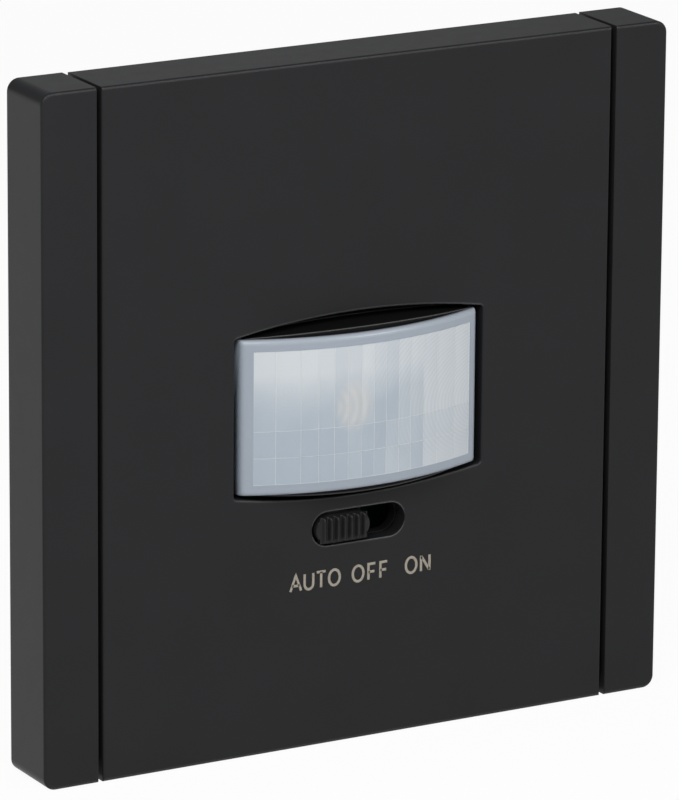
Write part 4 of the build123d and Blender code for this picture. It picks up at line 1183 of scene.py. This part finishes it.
def light_all_round(strength):
    """Even, slightly cool light from all sides."""
    world = bpy.data.worlds.new("even_light")
    bpy.context.scene.world = world
    world.use_nodes = True
    sky = world.node_tree.nodes["Background"]
    sky.inputs["Color"].default_value = (0.97, 0.985, 1.0, 1)
    sky.inputs["Strength"].default_value = strength


def hang_lamp(name, place, aim, side, power):
    """Square soft lamp that faces a point and stays out of the picture."""
    light = bpy.data.lights.new(name, "AREA")
    light.shape = "RECTANGLE"
    light.size = side
    light.size_y = side
    light.energy = power
    carrier = bpy.data.objects.new(name, light)
    bpy.context.collection.objects.link(carrier)
    carrier.location = place
    carrier.rotation_mode = "QUATERNION"
    carrier.rotation_quaternion = (Vector(aim) - Vector(place)).to_track_quat("-Z", "Y")
    carrier.visible_camera = False


def stand_camera(levels):
    """Camera at the side and height of the photograph, some way off."""
    target = Vector((0.00221, 0.0, -0.00224))
    view = bpy.data.cameras.new("camera")
    view.sensor_width = 36.0
    view.lens = levels.focal
    view.clip_start = 0.05
    view.clip_end = 20.0
    camera = bpy.data.objects.new("camera", view)
    bpy.context.collection.objects.link(camera)
    away = Vector((
        sin(levels.azimuth) * cos(levels.elevation),
        -cos(levels.azimuth) * cos(levels.elevation),
        sin(levels.elevation),
    ))
    camera.location = target + levels.distance * away
    camera.rotation_mode = "QUATERNION"
    camera.rotation_quaternion = (-away).to_track_quat("-Z", "Y") @ Quaternion((0, 0, 1), levels.roll)
    bpy.context.scene.camera = camera


class LIGHTSWITCH_OT_finishes(bpy.types.Operator):
    """Give every solid of the model but the lens its finish"""

    bl_idname = "lightswitch.finishes"
    bl_label = "Finishes"

    def execute(self, context):
        colours = context.scene.switch_colours
        made = {}
        for subpart in frame["record"]["subparts"]:
            slot_name = subpart["material_slot"]
            if slot_name == "lens_plastic":
                continue
            if slot_name not in made:
                made[slot_name] = slot_finishes[slot_name](colours)
            dress_solid(subpart["node"], made[slot_name])
        dress_solid("lens_hood", hood_plastic(colours))
        return {"FINISHED"}


class LIGHTSWITCH_OT_lens(bpy.types.Operator):
    """Build the faceted sheet lens"""

    bl_idname = "lightswitch.lens"
    bl_label = "Lens"

    def execute(self, context):
        colours = context.scene.switch_colours
        facets = milky_facets(colours)
        build_lens(context.scene.switch_lens, facets, milky_border(colours))
        dress_solid("lens", facets)
        return {"FINISHED"}


class LIGHTSWITCH_OT_knob(bpy.types.Operator):
    """Build the ribbed knob of the slide switch"""

    bl_idname = "lightswitch.knob"
    bl_label = "Knob"

    def execute(self, context):
        black = knob_plastic(context.scene.switch_colours)
        build_knob(context.scene.switch_knob, black)
        dress_solid("slide_knob", black)
        return {"FINISHED"}


class LIGHTSWITCH_OT_legends(bpy.types.Operator):
    """Letter the three places of the slide switch"""

    bl_idname = "lightswitch.legends"
    bl_label = "Legends"

    def execute(self, context):
        ink = legend_ink(context.scene.switch_colours)
        for word in legend_spans:
            build_legend(word, context.scene.switch_legends, ink)
        return {"FINISHED"}


class LIGHTSWITCH_OT_terminal_marks(bpy.types.Operator):
    """Mark the three wire entries on the rear cover"""

    bl_idname = "lightswitch.terminal_marks"
    bl_label = "Terminal marks"

    def execute(self, context):
        dark = mark_plastic(context.scene.switch_colours)
        for node in terminal_marks:
            build_mark(node, context.scene.switch_legends, dark)
        return {"FINISHED"}


class LIGHTSWITCH_OT_screws(bpy.types.Operator):
    """Build the threaded claw screws and the crossed cover screws"""

    bl_idname = "lightswitch.screws"
    bl_label = "Screws"

    def execute(self, context):
        steel = frame["nodes"]["claw_screw_left"].data.materials[0]
        for hand in ("left", "right"):
            build_claw_screw(hand, context.scene.switch_screws, steel)
        build_cover_screws(context.scene.switch_screws, steel)
        return {"FINISHED"}


class LIGHTSWITCH_OT_stage(bpy.types.Operator):
    """Set up the floor, lamps, background and camera"""

    bl_idname = "lightswitch.stage"
    bl_label = "Stage"

    def execute(self, context):
        levels = context.scene.switch_stage
        lay_floor(levels.floor_white)
        light_all_round(levels.sky)
        hang_lamp("key", place=(0.28, -0.45, 0.28), aim=(0, 0, 0), side=0.2, power=levels.key)
        hang_lamp("fill", place=(-0.13, -0.17, 0.19), aim=(0, 0, 0), side=0.16, power=levels.fill)
        hang_lamp("back", place=(0.20, 0.55, 0.15), aim=(0, 0, 0.02), side=0.3, power=levels.back)
        stand_camera(levels)
        context.scene.view_settings.view_transform = "Standard"
        return {"FINISHED"}


class LIGHTSWITCH_PT_panel(bpy.types.Panel):
    """Panel with the sizes, colours and steps of the light switch"""

    bl_idname = "LIGHTSWITCH_PT_panel"
    bl_label = "Light Switch"
    bl_space_type = "VIEW_3D"
    bl_region_type = "UI"
    bl_category = "Light Switch"

    def draw(self, context):
        for operator in operators:
            self.layout.operator(operator.bl_idname)
        for name in property_groups:
            group = getattr(context.scene, name)
            box = self.layout.box()
            box.label(text=group.bl_rna.name)
            for field in group.__annotations__:
                box.prop(group, field)


property_groups = {
    "switch_lens": LensSizes,
    "switch_knob": KnobSizes,
    "switch_legends": LegendSizes,
    "switch_screws": ScrewSizes,
    "switch_colours": FinishColours,
    "switch_stage": StageLevels,
}
operators = (
    LIGHTSWITCH_OT_finishes,
    LIGHTSWITCH_OT_lens,
    LIGHTSWITCH_OT_knob,
    LIGHTSWITCH_OT_legends,
    LIGHTSWITCH_OT_terminal_marks,
    LIGHTSWITCH_OT_screws,
    LIGHTSWITCH_OT_stage,
)


def register():
    """Make the classes known to Blender and give each scene its sizes, colours and levels."""
    for made in (*property_groups.values(), *operators, LIGHTSWITCH_PT_panel):
        bpy.utils.register_class(made)
    for name, group in property_groups.items():
        setattr(bpy.types.Scene, name, PointerProperty(type=group))


def unregister():
    """Take back what register did."""
    for name in property_groups:
        delattr(bpy.types.Scene, name)
    for made in (LIGHTSWITCH_PT_panel, *reversed(operators), *property_groups.values()):
        bpy.utils.unregister_class(made)


def main():
    """Build the looks of the switch in order."""
    register()
    bpy.ops.lightswitch.finishes()
    bpy.ops.lightswitch.lens()
    bpy.ops.lightswitch.knob()
    bpy.ops.lightswitch.legends()
    bpy.ops.lightswitch.terminal_marks()
    bpy.ops.lightswitch.screws()
    bpy.ops.lightswitch.stage()


if __name__ == "__main__":
    main()
